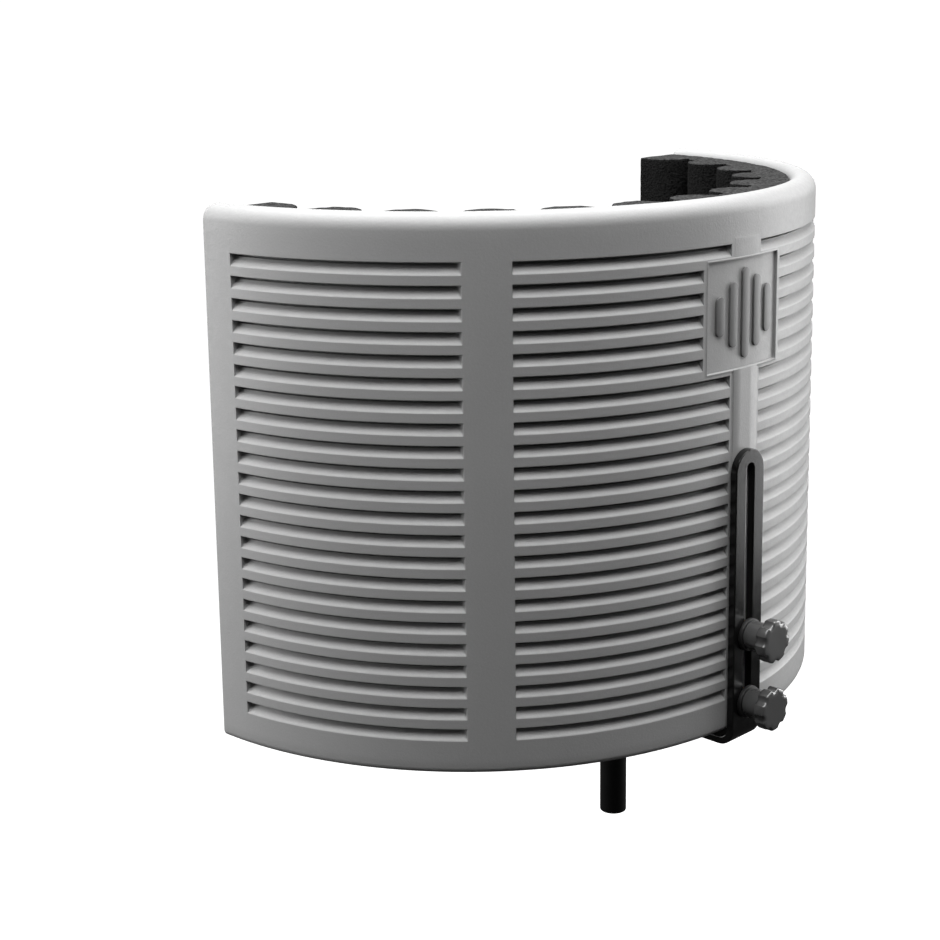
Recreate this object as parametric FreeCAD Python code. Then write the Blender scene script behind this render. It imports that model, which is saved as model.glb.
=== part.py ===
import FreeCAD, Part
import math
import os

from FreeCAD import Vector

# Microphone isolation shield: a grooved half-cylinder housing lined with profiled foam. It hangs on a
# slotted angle bracket, and the bracket's arm is clamped to a short post that screws onto a stand.
#
# Millimetres, +Z up. The origin is the centre of the mouth of the stand socket, at the foot of the post.
# The closed, convex back faces -Y and the open side, where the singer stands, faces +Y.
# Angles round the shell are measured from the middle of the back, positive towards +X.

# ---- driving dimensions: shell ------------------------------------------------------------------------
SHELL_RADIUS = 210.0        # outside
SHELL_HEIGHT = 303.0
SHELL_HALF_ANGLE = 88.7     # degrees, from the middle of the back to each end
SHELL_BOTTOM = 81.4         # height of the lower rim above the origin
SHELL_AXIS_Y = 116.5        # the shell's axis stands this far in front of the post
RIM_WIDTH = 15.5            # radial
RIM_THICKNESS = 3.0
TOP_EDGE_RADIUS = 9.0       # outer half of the upper rim
TOP_INNER_RADIUS = 6.5      # inner half of the upper rim
TOP_LIP_HEIGHT = 12.0       # the upper rim is turned down behind the foam's edge
TOP_LIP_THICKNESS = 2.5
BOTTOM_EDGE_RADIUS = 3.5
SHELL_WALL = 2.3
END_FLANGE = 3.0            # thickness of the two vertical end walls
SHELL_SEAMS = (-43.25, -8.95, 8.95, 43.25)   # degrees, where one surface of the shell meets the next

# ---- grooves ------------------------------------------------------------------------------------------
GROOVE_ROWS = 22
GROOVE_PITCH = 12.02
GROOVE_HEIGHT = 6.5
GROOVE_DEPTH = 4.5          # at the level ledge on top, running out to nothing at the bottom
TOP_GROOVE_BELOW_RIM = 25.2
PANELS = ((3.6, 39.7), (46.8, 83.0))   # degrees either side of the back

# ---- badge recess on the back -------------------------------------------------------------------------
BADGE_HALF_ANGLE = 8.5
BADGE_LOW = 208.7           # above the lower rim
BADGE_HIGH = 269.5
BADGE_DEPTH = 1.3
BADGE_ROWS = (1, 2, 3, 4, 5)           # rows of grooves that stop short of the badge
BADGE_ROW_START = 9.4
BADGE_FLOOR_CLEARANCE = 0.02
EMBLEM_BAR_WIDTH = 6.4
EMBLEM_BAR_PITCH = 10.6
EMBLEM_BAR_HEIGHTS = (22.0, 36.0, 50.0, 40.0, 27.0)

# ---- flat seat that the bracket slides on -------------------------------------------------------------
SEAT_WIDTH = 21.0
SEAT_FACE = 210.3           # distance from the shell's axis
SEAT_LOW = 9.0              # above the lower rim; the seat ends at the badge

# ---- what lines the shell -----------------------------------------------------------------------------
FOAM_LOW = 1.7              # above the lower rim
FOAM_BELOW_TOP = 3.2        # the foam stops this far below the top of the upper rim
FOAM_BACK_RADIUS = 194.2
FOAM_VALLEY_RADIUS = 176.0
FOAM_TIP_RADIUS = 160.0
FOAM_RIBS = 13
FOAM_RIB_PITCH = 14.0       # degrees
FOAM_HALF_ANGLE = 88.5
WOOL_INNER_RADIUS = 194.8
WOOL_OUTER_RADIUS = 200.2
WOOL_HALF_ANGLE = 87.6
SPACER_WIDTH = 12.0
SPACER_ANGLES = (22.0, 43.25, 64.5, 84.6)

# ---- fixing of the shell to the bracket ---------------------------------------------------------------
KNOB_LOW = 15.9             # above the lower rim
KNOB_SPACING = 40.0
KNOB_STUD_RADIUS = 3.0      # M6
INSERT_BARREL_RADIUS = 4.6
INSERT_BARREL_PROUD = 1.5   # of the backing plate's inner face
INSERT_FLANGE_RADIUS = 7.0
INSERT_FLANGE_SUNK = 1.0    # in the shell's face
PLATE_THICKNESS = 2.5
PLATE_HALF_ANGLE = 3.3
PLATE_LOW = 5.0             # above the lower rim
PLATE_HIGH = 78.0
PLATE_CLEARANCE = 4.0       # of the wool above the plate
PLATE_SIDE_CLEARANCE = 0.6  # degrees, of the wool beside the plate
PLATE_SCREW_HEIGHTS = (28.0, 71.0)     # above the lower rim
PLATE_SCREW_RADIUS = 1.7
PLATE_SCREW_HEAD_RADIUS = 3.2
PLATE_SCREW_HEAD_HEIGHT = 2.2
PLATE_SCREW_SLOT = 1.0      # width and depth
PLATE_SCREW_STAND_OFF = 0.3 # of a flat head's middle, because its sides meet the curved plate first
PLATE_SCREW_OFFSET = 6.5    # sideways from the middle

# ---- knobs --------------------------------------------------------------------------------------------
KNOB_LOBES = 7
KNOB_HEAD_RADIUS = 12.3
KNOB_HUB_RADIUS = 8.5
KNOB_HUB_START = 217.6      # distance from the shell's axis
KNOB_HEAD_START = 227.9
KNOB_END = 235.0
KNOB_SCALLOP_RADIUS = 3.4
KNOB_SCALLOP_REACH = 14.2   # from the knob's axis to the middle of a scallop
KNOB_BEVEL = 1.4
KNOB_BORE_DEPTH = 14.0
KNOB_STUD_CHAMFER = 0.8
KNOB_WASHER_RADIUS = 9.3

# ---- bracket ------------------------------------------------------------------------------------------
STRIP_WIDTH = 25.4
STRIP_THICKNESS = 4.5
STRIP_INNER_BEND = 5.5
UPRIGHT_INNER_FACE = 210.5  # distance from the shell's axis
UPRIGHT_TOP = 163.1         # above the lower rim
UPRIGHT_SLOT_WIDTH = 7.0
UPRIGHT_SLOT_LOW = 12.0     # above the lower rim
UPRIGHT_SLOT_HIGH = 155.0
ARM_BELOW_SHELL = 4.3       # gap between the arm and the lower rim
ARM_FRONT = 46.0            # the arm's free end, in front of the post
ARM_SLOT_WIDTH = 12.2
ARM_SLOT_HALF_LENGTH = 38.0

# ---- post and the parts that clamp the arm ------------------------------------------------------------
POST_RADIUS = 8.0
POST_COLLAR_RADIUS = 14.0
POST_COLLAR_THICKNESS = 4.0
STAND_SOCKET_RADIUS = 4.8   # takes a 3/8 inch stand thread
STAND_SOCKET_DEPTH = 20.0
STAND_INSERT_RADIUS = 6.4
STUD_RADIUS = 4.76          # 3/8 inch
STUD_FOOT_DEPTH = 18.0      # how far the stud is screwed into the post
STUD_BELOW_TOP = 1.5        # the stud's end, below the top of the sleeve that it carries
WASHER_RADIUS = 13.0
FRICTION_WASHER = 1.6
GUIDE_FLANGE = 2.6
GUIDE_LENGTH = 16.0         # along the arm
CLAMP_WASHER = 2.0
LOCK_NUT_RADIUS = 17.0
LOCK_NUT_HEIGHT = 12.0
LOCK_NUT_FLUTES = 12
LOCK_NUT_FLUTE_RADIUS = 2.2
LOCK_NUT_FLUTE_REACH = 17.9 # from the post's axis to the middle of a flute
LOCK_NUT_BEVEL = 1.4
LOCK_NUT_TRAVEL = 2.0       # free height above the nut
LOCK_NUT_BUSH_RADIUS = 8.0
MIC_THREAD_RADIUS = 7.94    # 5/8 inch
MIC_THREAD_LENGTH = 16.0
MIC_FLANGE_RADIUS = 10.0
MIC_FLANGE_HEIGHT = 3.0

# ---- fits ---------------------------------------------------------------------------------------------
GAP = 0.1                   # between flat faces of pieces that move past each other
RUNNING = 0.06              # radial, round a turning shaft
FIXED = 0.04                # radial, round a pressed or screwed piece
PAST = 1.0                  # how far a cutter runs past the face that it opens

# ---- what follows from them ---------------------------------------------------------------------------
UP = Vector(0, 0, 1)
OUT = Vector(0, -1, 0)      # straight out of the middle of the back
RIM_RADIUS = SHELL_RADIUS - RIM_WIDTH
CAVITY_RADIUS = SHELL_RADIUS - GROOVE_DEPTH - SHELL_WALL + GAP
TOP_LIP_LOW = SHELL_HEIGHT - TOP_LIP_HEIGHT
LINING_TOP = TOP_LIP_LOW - GAP
RAMP_SLOPE = GROOVE_HEIGHT / GROOVE_DEPTH
PLAIN_BANDS = ((PANELS[0][1], PANELS[1][0]), (PANELS[1][1], SHELL_HALF_ANGLE))
KNOB_HEIGHTS = {"lower": SHELL_BOTTOM + KNOB_LOW, "upper": SHELL_BOTTOM + KNOB_LOW + KNOB_SPACING}
ARM_TOP = SHELL_BOTTOM - ARM_BELOW_SHELL
ARM_BOTTOM = ARM_TOP - STRIP_THICKNESS
UPRIGHT_OUTER_FACE = UPRIGHT_INNER_FACE + STRIP_THICKNESS
GUIDE_BOTTOM = ARM_BOTTOM - GAP - GUIDE_FLANGE
FRICTION_WASHER_BOTTOM = GUIDE_BOTTOM - GAP - FRICTION_WASHER
POST_TOP = FRICTION_WASHER_BOTTOM
CLAMP_WASHER_BOTTOM = ARM_TOP + GAP
LOCK_NUT_BOTTOM = CLAMP_WASHER_BOTTOM + CLAMP_WASHER + GAP
MIC_FLANGE_BOTTOM = LOCK_NUT_BOTTOM + LOCK_NUT_HEIGHT + LOCK_NUT_TRAVEL
MIC_THREAD_TOP = MIC_FLANGE_BOTTOM + MIC_FLANGE_HEIGHT + MIC_THREAD_LENGTH


# ---- helpers ------------------------------------------------------------------------------------------
def section_point(radius, height):
    """A point of the shell's section at the middle of the back, height from the lower rim."""
    return Vector(0, SHELL_AXIS_Y - radius, SHELL_BOTTOM + height)


def out_point(distance, across, z):
    """A point at a distance from the shell's axis along the outward normal of the back."""
    return Vector(across, SHELL_AXIS_Y - distance, z)


def swept(face, start, end):
    """The solid that a section face sweeps from one angle to another about the shell's axis."""
    axis = Vector(0, SHELL_AXIS_Y, 0)
    placed = face.copy()
    placed.rotate(axis, UP, start)
    return placed.revolve(axis, UP, end - start)


def section_face(points):
    """A face in the shell's section plane from (radius, height) corners."""
    corners = [section_point(radius, height) for radius, height in points]
    return Part.Face(Part.makePolygon(corners + corners[:1]))


def ring_sector(inner, outer, low, high, start, end):
    """A block between two radii, two heights above the lower rim and two angles."""
    face = section_face([(inner, low), (outer, low), (outer, high), (inner, high)])
    return swept(face, start, end)


def rod(radius, start, length, direction):
    return Part.makeCylinder(radius, length, start, direction)


def post_disc(radius, low, high):
    """A disc round the post's axis."""
    return rod(radius, Vector(0, 0, low), high - low, UP)


def post_ring(inner, outer, low, high):
    """A washer round the post's axis."""
    return post_disc(outer, low, high).cut(post_disc(inner, low - PAST, high + PAST))


def mirrored(shape):
    return shape.mirror(Vector(0, 0, 0), Vector(1, 0, 0))


def groove_top(row):
    """Height of a groove's level ledge above the lower rim."""
    return SHELL_HEIGHT - TOP_GROOVE_BELOW_RIM - row * GROOVE_PITCH


# ---- shell --------------------------------------------------------------------------------------------
def corner_arc(centre, radius, from_angle, to_angle):
    """An arc of the section, its angles measured from straight out of the shell towards up."""
    def at(angle):
        turn = math.radians(angle)
        return section_point(centre[0] + radius * math.cos(turn), centre[1] + radius * math.sin(turn))
    return Part.Arc(at(from_angle), at((from_angle + to_angle) / 2), at(to_angle)).toShape()


def shell_outline():
    """The shell's section without its hollow: rounded outer edges, and a rounded inner edge on top."""
    lower_centre = (SHELL_RADIUS - BOTTOM_EDGE_RADIUS, BOTTOM_EDGE_RADIUS)
    upper_centre = (SHELL_RADIUS - TOP_EDGE_RADIUS, SHELL_HEIGHT - TOP_EDGE_RADIUS)
    inner_centre = (RIM_RADIUS + TOP_INNER_RADIUS, SHELL_HEIGHT - TOP_INNER_RADIUS)
    straights = [
        ((SHELL_RADIUS, lower_centre[1]), (SHELL_RADIUS, upper_centre[1])),
        ((RIM_RADIUS, inner_centre[1]), (RIM_RADIUS, 0.0)),
        ((RIM_RADIUS, 0.0), (lower_centre[0], 0.0)),
    ]
    edges = [Part.makeLine(section_point(*start), section_point(*end)) for start, end in straights]
    edges += [
        corner_arc(lower_centre, BOTTOM_EDGE_RADIUS, -90.0, 0.0),
        corner_arc(upper_centre, TOP_EDGE_RADIUS, 0.0, 90.0),
        corner_arc(inner_centre, TOP_INNER_RADIUS, 90.0, 180.0),
    ]
    return Part.Face(Part.Wire(Part.__sortEdges__(edges)))


def shell_section():
    """C-shaped section: upper rim with its lip, wall and lower rim, open towards the axis."""
    inside = RIM_RADIUS - PAST
    lip = RIM_RADIUS + TOP_LIP_THICKNESS
    hollow = section_face([
        (inside, RIM_THICKNESS),
        (CAVITY_RADIUS, RIM_THICKNESS),
        (CAVITY_RADIUS, SHELL_HEIGHT - RIM_THICKNESS),
        (SHELL_RADIUS - TOP_EDGE_RADIUS, SHELL_HEIGHT - RIM_THICKNESS),
        (lip, SHELL_HEIGHT - TOP_INNER_RADIUS),
        (lip, TOP_LIP_LOW),
        (inside, TOP_LIP_LOW),
    ])
    return shell_outline().cut(hollow).Faces[0]


def end_flanges():
    """The wall that closes the shell's hollow at each end."""
    width = math.degrees(END_FLANGE / SHELL_RADIUS)
    flange = swept(shell_outline(), SHELL_HALF_ANGLE - width, SHELL_HALF_ANGLE)
    return [flange, mirrored(flange)]


def bracket_seat():
    """A flat strip up the middle of the back to the badge, a little proud of the round wall."""
    root = SHELL_RADIUS - PAST
    return Part.makeBox(SEAT_WIDTH, SEAT_FACE - root, BADGE_LOW - SEAT_LOW,
                        out_point(SEAT_FACE, -SEAT_WIDTH / 2, SHELL_BOTTOM + SEAT_LOW))


def groove_cutter(row, start, end):
    """One groove: a level ledge on top and a ramp below. Its end nearest the back follows the way the
    mould opens, straight out of the back, so it is cut off by a plane and not by a radius."""
    top = groove_top(row)
    outside = SHELL_RADIUS + PAST
    face = section_face([
        (SHELL_RADIUS - GROOVE_DEPTH, top),
        (outside, top),
        (outside, top - RAMP_SLOPE * (GROOVE_DEPTH + PAST)),
    ])
    cutter = swept(face, start, end)
    plane_x = SHELL_RADIUS * math.sin(math.radians(start))
    keep = Part.makeBox(SHELL_RADIUS, 2 * SHELL_RADIUS, SHELL_HEIGHT,
                        Vector(plane_x, SHELL_AXIS_Y - 2 * SHELL_RADIUS, SHELL_BOTTOM))
    return cutter.common(keep)


def relief_cutter(row, start, end):
    """The hollow behind one land, which leaves an even wall behind the grooves above and below it."""
    inside = CAVITY_RADIUS - PAST
    land = SHELL_RADIUS - SHELL_WALL
    under_ramp = SHELL_WALL * math.hypot(1.0, RAMP_SLOPE)
    low = groove_top(row) + SHELL_WALL
    foot = groove_top(row) + GROOVE_PITCH - GROOVE_HEIGHT
    face = section_face([
        (inside, low),
        (land, low),
        (land, foot + RAMP_SLOPE * (SHELL_RADIUS - land) - under_ramp),
        (inside, foot + RAMP_SLOPE * (SHELL_RADIUS - inside) - under_ramp),
    ])
    return swept(face, start, end)


def panel_cutters(first, last):
    """Grooves, and the hollows behind their lands, of one panel on the +X side."""
    end_wall = math.degrees(SHELL_WALL / SHELL_RADIUS)
    cutters = []
    for row in range(GROOVE_ROWS):
        beside_badge = first < BADGE_ROW_START and row in BADGE_ROWS
        start = BADGE_ROW_START if beside_badge else first
        cutters.append(groove_cutter(row, start, last))
        if row > 0:
            slant = math.degrees(math.tan(math.radians(start)) * GROOVE_DEPTH / SHELL_RADIUS)
            cutters.append(relief_cutter(row, start + slant + end_wall, last - end_wall))
    return cutters


def band_cutters(first, last):
    """The hollow behind a plain band, between the end walls of the panels beside it."""
    end_wall = math.degrees(SHELL_WALL / SHELL_RADIUS)
    return ring_sector(CAVITY_RADIUS - PAST, SHELL_RADIUS - SHELL_WALL, RIM_THICKNESS + PAST,
                       SHELL_HEIGHT - TOP_EDGE_RADIUS, first + end_wall, last - end_wall)


def screw_places():
    """Centres of the four screws that hold the backing plate, as (across, height) pairs."""
    for height in PLATE_SCREW_HEIGHTS:
        for side in (-1, 1):
            yield side * PLATE_SCREW_OFFSET, SHELL_BOTTOM + height


def outer_shell():
    section = shell_section()
    seams = [-SHELL_HALF_ANGLE] + list(SHELL_SEAMS) + [SHELL_HALF_ANGLE]
    sectors = [swept(section, start, end) for start, end in zip(seams, seams[1:])]
    shell = sectors[0].fuse(sectors[1:] + end_flanges() + [bracket_seat()])
    one_side = []
    for first, last in PANELS:
        one_side += panel_cutters(first, last)
    for first, last in PLAIN_BANDS:
        one_side.append(band_cutters(first, last))
    cutters = one_side + [mirrored(cutter) for cutter in one_side]
    cutters.append(ring_sector(SHELL_RADIUS - BADGE_DEPTH, SHELL_RADIUS + PAST, BADGE_LOW, BADGE_HIGH,
                               -BADGE_HALF_ANGLE, BADGE_HALF_ANGLE))
    through = SHELL_RADIUS - CAVITY_RADIUS + 2 * PAST
    for height in KNOB_HEIGHTS.values():
        start = out_point(CAVITY_RADIUS - PAST, 0, height)
        cutters.append(rod(INSERT_BARREL_RADIUS + FIXED, start, through, OUT))
        flange_seat = out_point(SHELL_RADIUS - INSERT_FLANGE_SUNK, 0, height)
        cutters.append(rod(INSERT_FLANGE_RADIUS + FIXED, flange_seat, INSERT_FLANGE_SUNK + PAST, OUT))
    for across, height in screw_places():
        start = out_point(CAVITY_RADIUS - PAST, across, height)
        cutters.append(rod(PLATE_SCREW_RADIUS + FIXED, start, PAST + SHELL_WALL + PAST, OUT))
    return shell.cut(cutters)


# ---- lining -------------------------------------------------------------------------------------------
def foam_liner():
    """A foam sheet with half-round ribs. The outermost rib of each end is as thick right to the end."""
    low = FOAM_LOW
    high = SHELL_HEIGHT - FOAM_BELOW_TOP
    sheet = ring_sector(FOAM_VALLEY_RADIUS, FOAM_BACK_RADIUS, low, high,
                        -FOAM_HALF_ANGLE, FOAM_HALF_ANGLE)
    last_rib = FOAM_RIBS // 2
    ribs = []
    for index in range(-last_rib, last_rib + 1):
        turn = math.radians(index * FOAM_RIB_PITCH)
        foot = Vector(FOAM_VALLEY_RADIUS * math.sin(turn),
                      SHELL_AXIS_Y - FOAM_VALLEY_RADIUS * math.cos(turn), SHELL_BOTTOM + low)
        ribs.append(rod(FOAM_VALLEY_RADIUS - FOAM_TIP_RADIUS, foot, high - low, UP))
    end_block = ring_sector(FOAM_TIP_RADIUS, FOAM_BACK_RADIUS, low, high,
                            last_rib * FOAM_RIB_PITCH, FOAM_HALF_ANGLE)
    whole = sheet.fuse(ribs + [end_block, mirrored(end_block)])
    inside_back = ring_sector(FOAM_TIP_RADIUS - PAST, FOAM_BACK_RADIUS, low, high,
                              -FOAM_HALF_ANGLE, FOAM_HALF_ANGLE)
    return whole.common(inside_back)


def wool_absorber():
    """Dense wool layer behind the foam, with a window where the backing plate's hardware stands."""
    wool = ring_sector(WOOL_INNER_RADIUS, WOOL_OUTER_RADIUS, RIM_THICKNESS + GAP, LINING_TOP,
                       -WOOL_HALF_ANGLE, WOOL_HALF_ANGLE)
    half_window = PLATE_HALF_ANGLE + PLATE_SIDE_CLEARANCE
    window = ring_sector(WOOL_INNER_RADIUS - PAST, WOOL_OUTER_RADIUS + PAST, RIM_THICKNESS - PAST,
                         PLATE_HIGH + PLATE_CLEARANCE, -half_window, half_window)
    return wool.cut(window)


def gap_spacers():
    """Upright strips that hold the wool off the shell and leave an air gap between them."""
    half = math.degrees(SPACER_WIDTH / 2 / WOOL_OUTER_RADIUS)
    strips = []
    for angle in SPACER_ANGLES:
        strip = ring_sector(WOOL_OUTER_RADIUS + GAP, CAVITY_RADIUS - GAP, RIM_THICKNESS + GAP, LINING_TOP,
                            angle - half, angle + half)
        strips += [strip, mirrored(strip)]
    return Part.makeCompound(strips)


# ---- fixing hardware inside the shell -----------------------------------------------------------------
def mounting_plate():
    plate_outer = CAVITY_RADIUS - GAP
    plate = ring_sector(plate_outer - PLATE_THICKNESS, plate_outer, PLATE_LOW, PLATE_HIGH,
                        -PLATE_HALF_ANGLE, PLATE_HALF_ANGLE)
    start_distance = plate_outer - PLATE_THICKNESS - PAST
    length = PLATE_THICKNESS + 3 * PAST
    holes = []
    for height in KNOB_HEIGHTS.values():
        holes.append(rod(INSERT_BARREL_RADIUS + FIXED, out_point(start_distance, 0, height), length, OUT))
    for across, height in screw_places():
        start = out_point(start_distance, across, height)
        holes.append(rod(PLATE_SCREW_RADIUS + FIXED, start, length, OUT))
    return plate.cut(holes)


def plate_screws():
    """Four self-tapping screws, driven from inside the shell."""
    seat = CAVITY_RADIUS - GAP - PLATE_THICKNESS - PLATE_SCREW_STAND_OFF
    head_face = seat - PLATE_SCREW_HEAD_HEIGHT
    shank_end = CAVITY_RADIUS + SHELL_WALL
    screws = []
    for across, height in screw_places():
        start = out_point(head_face, across, height)
        head = rod(PLATE_SCREW_HEAD_RADIUS, start, PLATE_SCREW_HEAD_HEIGHT, OUT)
        shank = rod(PLATE_SCREW_RADIUS, start, shank_end - head_face, OUT)
        slot = Part.makeBox(2 * PLATE_SCREW_HEAD_RADIUS, 2 * PLATE_SCREW_SLOT, PLATE_SCREW_SLOT,
                            out_point(head_face + PLATE_SCREW_SLOT, across - PLATE_SCREW_HEAD_RADIUS,
                                      height - PLATE_SCREW_SLOT / 2))
        screws.append(head.fuse(shank).cut(slot))
    return Part.makeCompound(screws)


def threaded_insert(height):
    """Flanged nut that the knob's stud screws into. The bracket bears on its flange."""
    inner_end = CAVITY_RADIUS - PLATE_THICKNESS - INSERT_BARREL_PROUD
    flange_back = SHELL_RADIUS - INSERT_FLANGE_SUNK + GAP / 2
    flange_front = UPRIGHT_INNER_FACE - GAP
    barrel = rod(INSERT_BARREL_RADIUS, out_point(inner_end, 0, height), flange_front - inner_end, OUT)
    flange = rod(INSERT_FLANGE_RADIUS, out_point(flange_back, 0, height), flange_front - flange_back, OUT)
    bore = rod(KNOB_STUD_RADIUS + RUNNING, out_point(inner_end - PAST, 0, height),
               flange_front - inner_end + 2 * PAST, OUT)
    return barrel.fuse(flange).cut(bore)


# ---- emblem -------------------------------------------------------------------------------------------
def emblem_bars():
    """Five upright bars with round ends, like a sound-level display, standing in the badge recess."""
    middle = SHELL_BOTTOM + (BADGE_LOW + BADGE_HIGH) / 2
    floor = SHELL_RADIUS - BADGE_DEPTH
    half_width = EMBLEM_BAR_WIDTH / 2
    layer = ring_sector(floor + BADGE_FLOOR_CLEARANCE, SHELL_RADIUS, BADGE_LOW, BADGE_HIGH,
                        -BADGE_HALF_ANGLE, BADGE_HALF_ANGLE)
    back = floor - 2 * PAST
    front = SHELL_RADIUS + PAST
    bars = []
    for index, height in enumerate(EMBLEM_BAR_HEIGHTS):
        across = (index - len(EMBLEM_BAR_HEIGHTS) // 2) * EMBLEM_BAR_PITCH
        straight = height / 2 - half_width
        ends = [rod(half_width, out_point(back, across, middle + side * straight), front - back, OUT)
                for side in (-1, 1)]
        block = Part.makeBox(EMBLEM_BAR_WIDTH, front - back, 2 * straight,
                             out_point(front, across - half_width, middle - straight))
        bars.append(block.fuse(ends).common(layer))
    return Part.makeCompound(bars)


# ---- knobs --------------------------------------------------------------------------------------------
def turned(points, height):
    """A solid turned about a knob's axis from (radius, distance from the shell's axis) corners."""
    corners = [out_point(distance, radius, height) for radius, distance in points]
    face = Part.Face(Part.makePolygon(corners + corners[:1]))
    return face.revolve(out_point(0, 0, height), OUT, 360)


def knob_grip(height):
    """Seven-lobed grip with a round hub, bored for its stud."""
    bevel = KNOB_BEVEL
    body = turned([
        (0, KNOB_HUB_START),
        (KNOB_HUB_RADIUS - bevel / 2, KNOB_HUB_START),
        (KNOB_HUB_RADIUS, KNOB_HUB_START + bevel / 2),
        (KNOB_HUB_RADIUS, KNOB_HEAD_START),
        (KNOB_HEAD_RADIUS - bevel, KNOB_HEAD_START),
        (KNOB_HEAD_RADIUS, KNOB_HEAD_START + bevel),
        (KNOB_HEAD_RADIUS, KNOB_END - bevel),
        (KNOB_HEAD_RADIUS - bevel, KNOB_END),
        (0, KNOB_END),
    ], height)
    scallops = []
    for index in range(KNOB_LOBES):
        turn = 2 * math.pi * (index + 0.5) / KNOB_LOBES
        start = out_point(KNOB_HEAD_START - PAST, KNOB_SCALLOP_REACH * math.sin(turn),
                          height + KNOB_SCALLOP_REACH * math.cos(turn))
        scallops.append(rod(KNOB_SCALLOP_RADIUS, start, KNOB_END - KNOB_HEAD_START + 2 * PAST, OUT))
    bore = rod(KNOB_STUD_RADIUS + FIXED, out_point(KNOB_HUB_START - PAST, 0, height),
               KNOB_BORE_DEPTH + PAST, OUT)
    return body.cut(scallops + [bore])


def knob_stud(height):
    start = CAVITY_RADIUS - PLATE_THICKNESS
    end = KNOB_HUB_START + KNOB_BORE_DEPTH - GAP
    return turned([
        (0, start),
        (KNOB_STUD_RADIUS - KNOB_STUD_CHAMFER, start),
        (KNOB_STUD_RADIUS, start + KNOB_STUD_CHAMFER),
        (KNOB_STUD_RADIUS, end),
        (0, end),
    ], height)


def knob_washer(height):
    start = UPRIGHT_OUTER_FACE + GAP
    thickness = KNOB_HUB_START - GAP / 2 - start
    washer = rod(KNOB_WASHER_RADIUS, out_point(start, 0, height), thickness, OUT)
    return washer.cut(rod(KNOB_STUD_RADIUS + FIXED, out_point(start - PAST, 0, height),
                          thickness + 2 * PAST, OUT))


# ---- bracket ------------------------------------------------------------------------------------------
def slot_cutter(width, start, end, through):
    """A round-ended slot between the centres of its two ends."""
    radius = width / 2
    along = end - start
    side = along.cross(through)
    side.normalize()
    corners = [start + side * radius, end + side * radius, end - side * radius, start - side * radius]
    block = Part.Face(Part.makePolygon(corners + corners[:1])).extrude(through)
    ends = [rod(radius, point, through.Length, through) for point in (start, end)]
    return block.fuse(ends)


def bracket_plate():
    """One strip of steel bent into an upright and an arm, with a slot along each."""
    outer_y = SHELL_AXIS_Y - UPRIGHT_OUTER_FACE
    inner_y = SHELL_AXIS_Y - UPRIGHT_INNER_FACE
    outer_bend = STRIP_INNER_BEND + STRIP_THICKNESS
    centre = Vector(0, outer_y + outer_bend, ARM_BOTTOM + outer_bend)
    top = SHELL_BOTTOM + UPRIGHT_TOP

    def bend(radius):
        corner = radius * math.sqrt(0.5)
        return Part.Arc(centre + Vector(0, -radius, 0), centre + Vector(0, -corner, -corner),
                        centre + Vector(0, 0, -radius)).toShape()

    runs = [
        (Vector(0, outer_y, centre.z), Vector(0, outer_y, top)),
        (Vector(0, outer_y, top), Vector(0, inner_y, top)),
        (Vector(0, inner_y, top), Vector(0, inner_y, centre.z)),
        (Vector(0, centre.y, ARM_TOP), Vector(0, ARM_FRONT, ARM_TOP)),
        (Vector(0, ARM_FRONT, ARM_TOP), Vector(0, ARM_FRONT, ARM_BOTTOM)),
        (Vector(0, ARM_FRONT, ARM_BOTTOM), Vector(0, centre.y, ARM_BOTTOM)),
    ]
    edges = [Part.makeLine(start, end) for start, end in runs]
    edges += [bend(outer_bend), bend(STRIP_INNER_BEND)]
    side = Part.Face(Part.Wire(Part.__sortEdges__(edges)))
    side.translate(Vector(-STRIP_WIDTH / 2, 0, 0))
    strip = side.extrude(Vector(STRIP_WIDTH, 0, 0))

    half = STRIP_WIDTH / 2
    through_upright = Vector(0, -4 * STRIP_THICKNESS, 0)
    through_arm = Vector(0, 0, 4 * STRIP_THICKNESS)
    behind = SHELL_AXIS_Y - UPRIGHT_INNER_FACE + STRIP_THICKNESS
    below = ARM_BOTTOM - STRIP_THICKNESS
    round_top = slot_cutter(STRIP_WIDTH, Vector(0, behind, SHELL_BOTTOM), Vector(0, behind, top - half),
                            through_upright)
    round_front = slot_cutter(STRIP_WIDTH, Vector(0, outer_y + half, below),
                              Vector(0, ARM_FRONT - half, below), through_arm)
    keep_low = Part.makeBox(STRIP_WIDTH, 2 * SHELL_RADIUS, UPRIGHT_TOP / 2,
                            Vector(-half, -SHELL_RADIUS, ARM_BOTTOM))
    keep_back = Part.makeBox(STRIP_WIDTH, STRIP_THICKNESS * 4, SHELL_HEIGHT,
                             Vector(-half, outer_y - STRIP_THICKNESS, ARM_BOTTOM))
    upper = strip.common(round_top.fuse(keep_low))
    strip = upper.common(round_front.fuse(keep_back))

    radius = UPRIGHT_SLOT_WIDTH / 2
    upright_slot = slot_cutter(UPRIGHT_SLOT_WIDTH,
                               Vector(0, behind, SHELL_BOTTOM + UPRIGHT_SLOT_LOW + radius),
                               Vector(0, behind, SHELL_BOTTOM + UPRIGHT_SLOT_HIGH - radius),
                               through_upright)
    arm_slot = slot_cutter(ARM_SLOT_WIDTH,
                           Vector(0, ARM_SLOT_WIDTH / 2 - ARM_SLOT_HALF_LENGTH, below),
                           Vector(0, ARM_SLOT_HALF_LENGTH - ARM_SLOT_WIDTH / 2, below), through_arm)
    return strip.cut([upright_slot, arm_slot])


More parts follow.
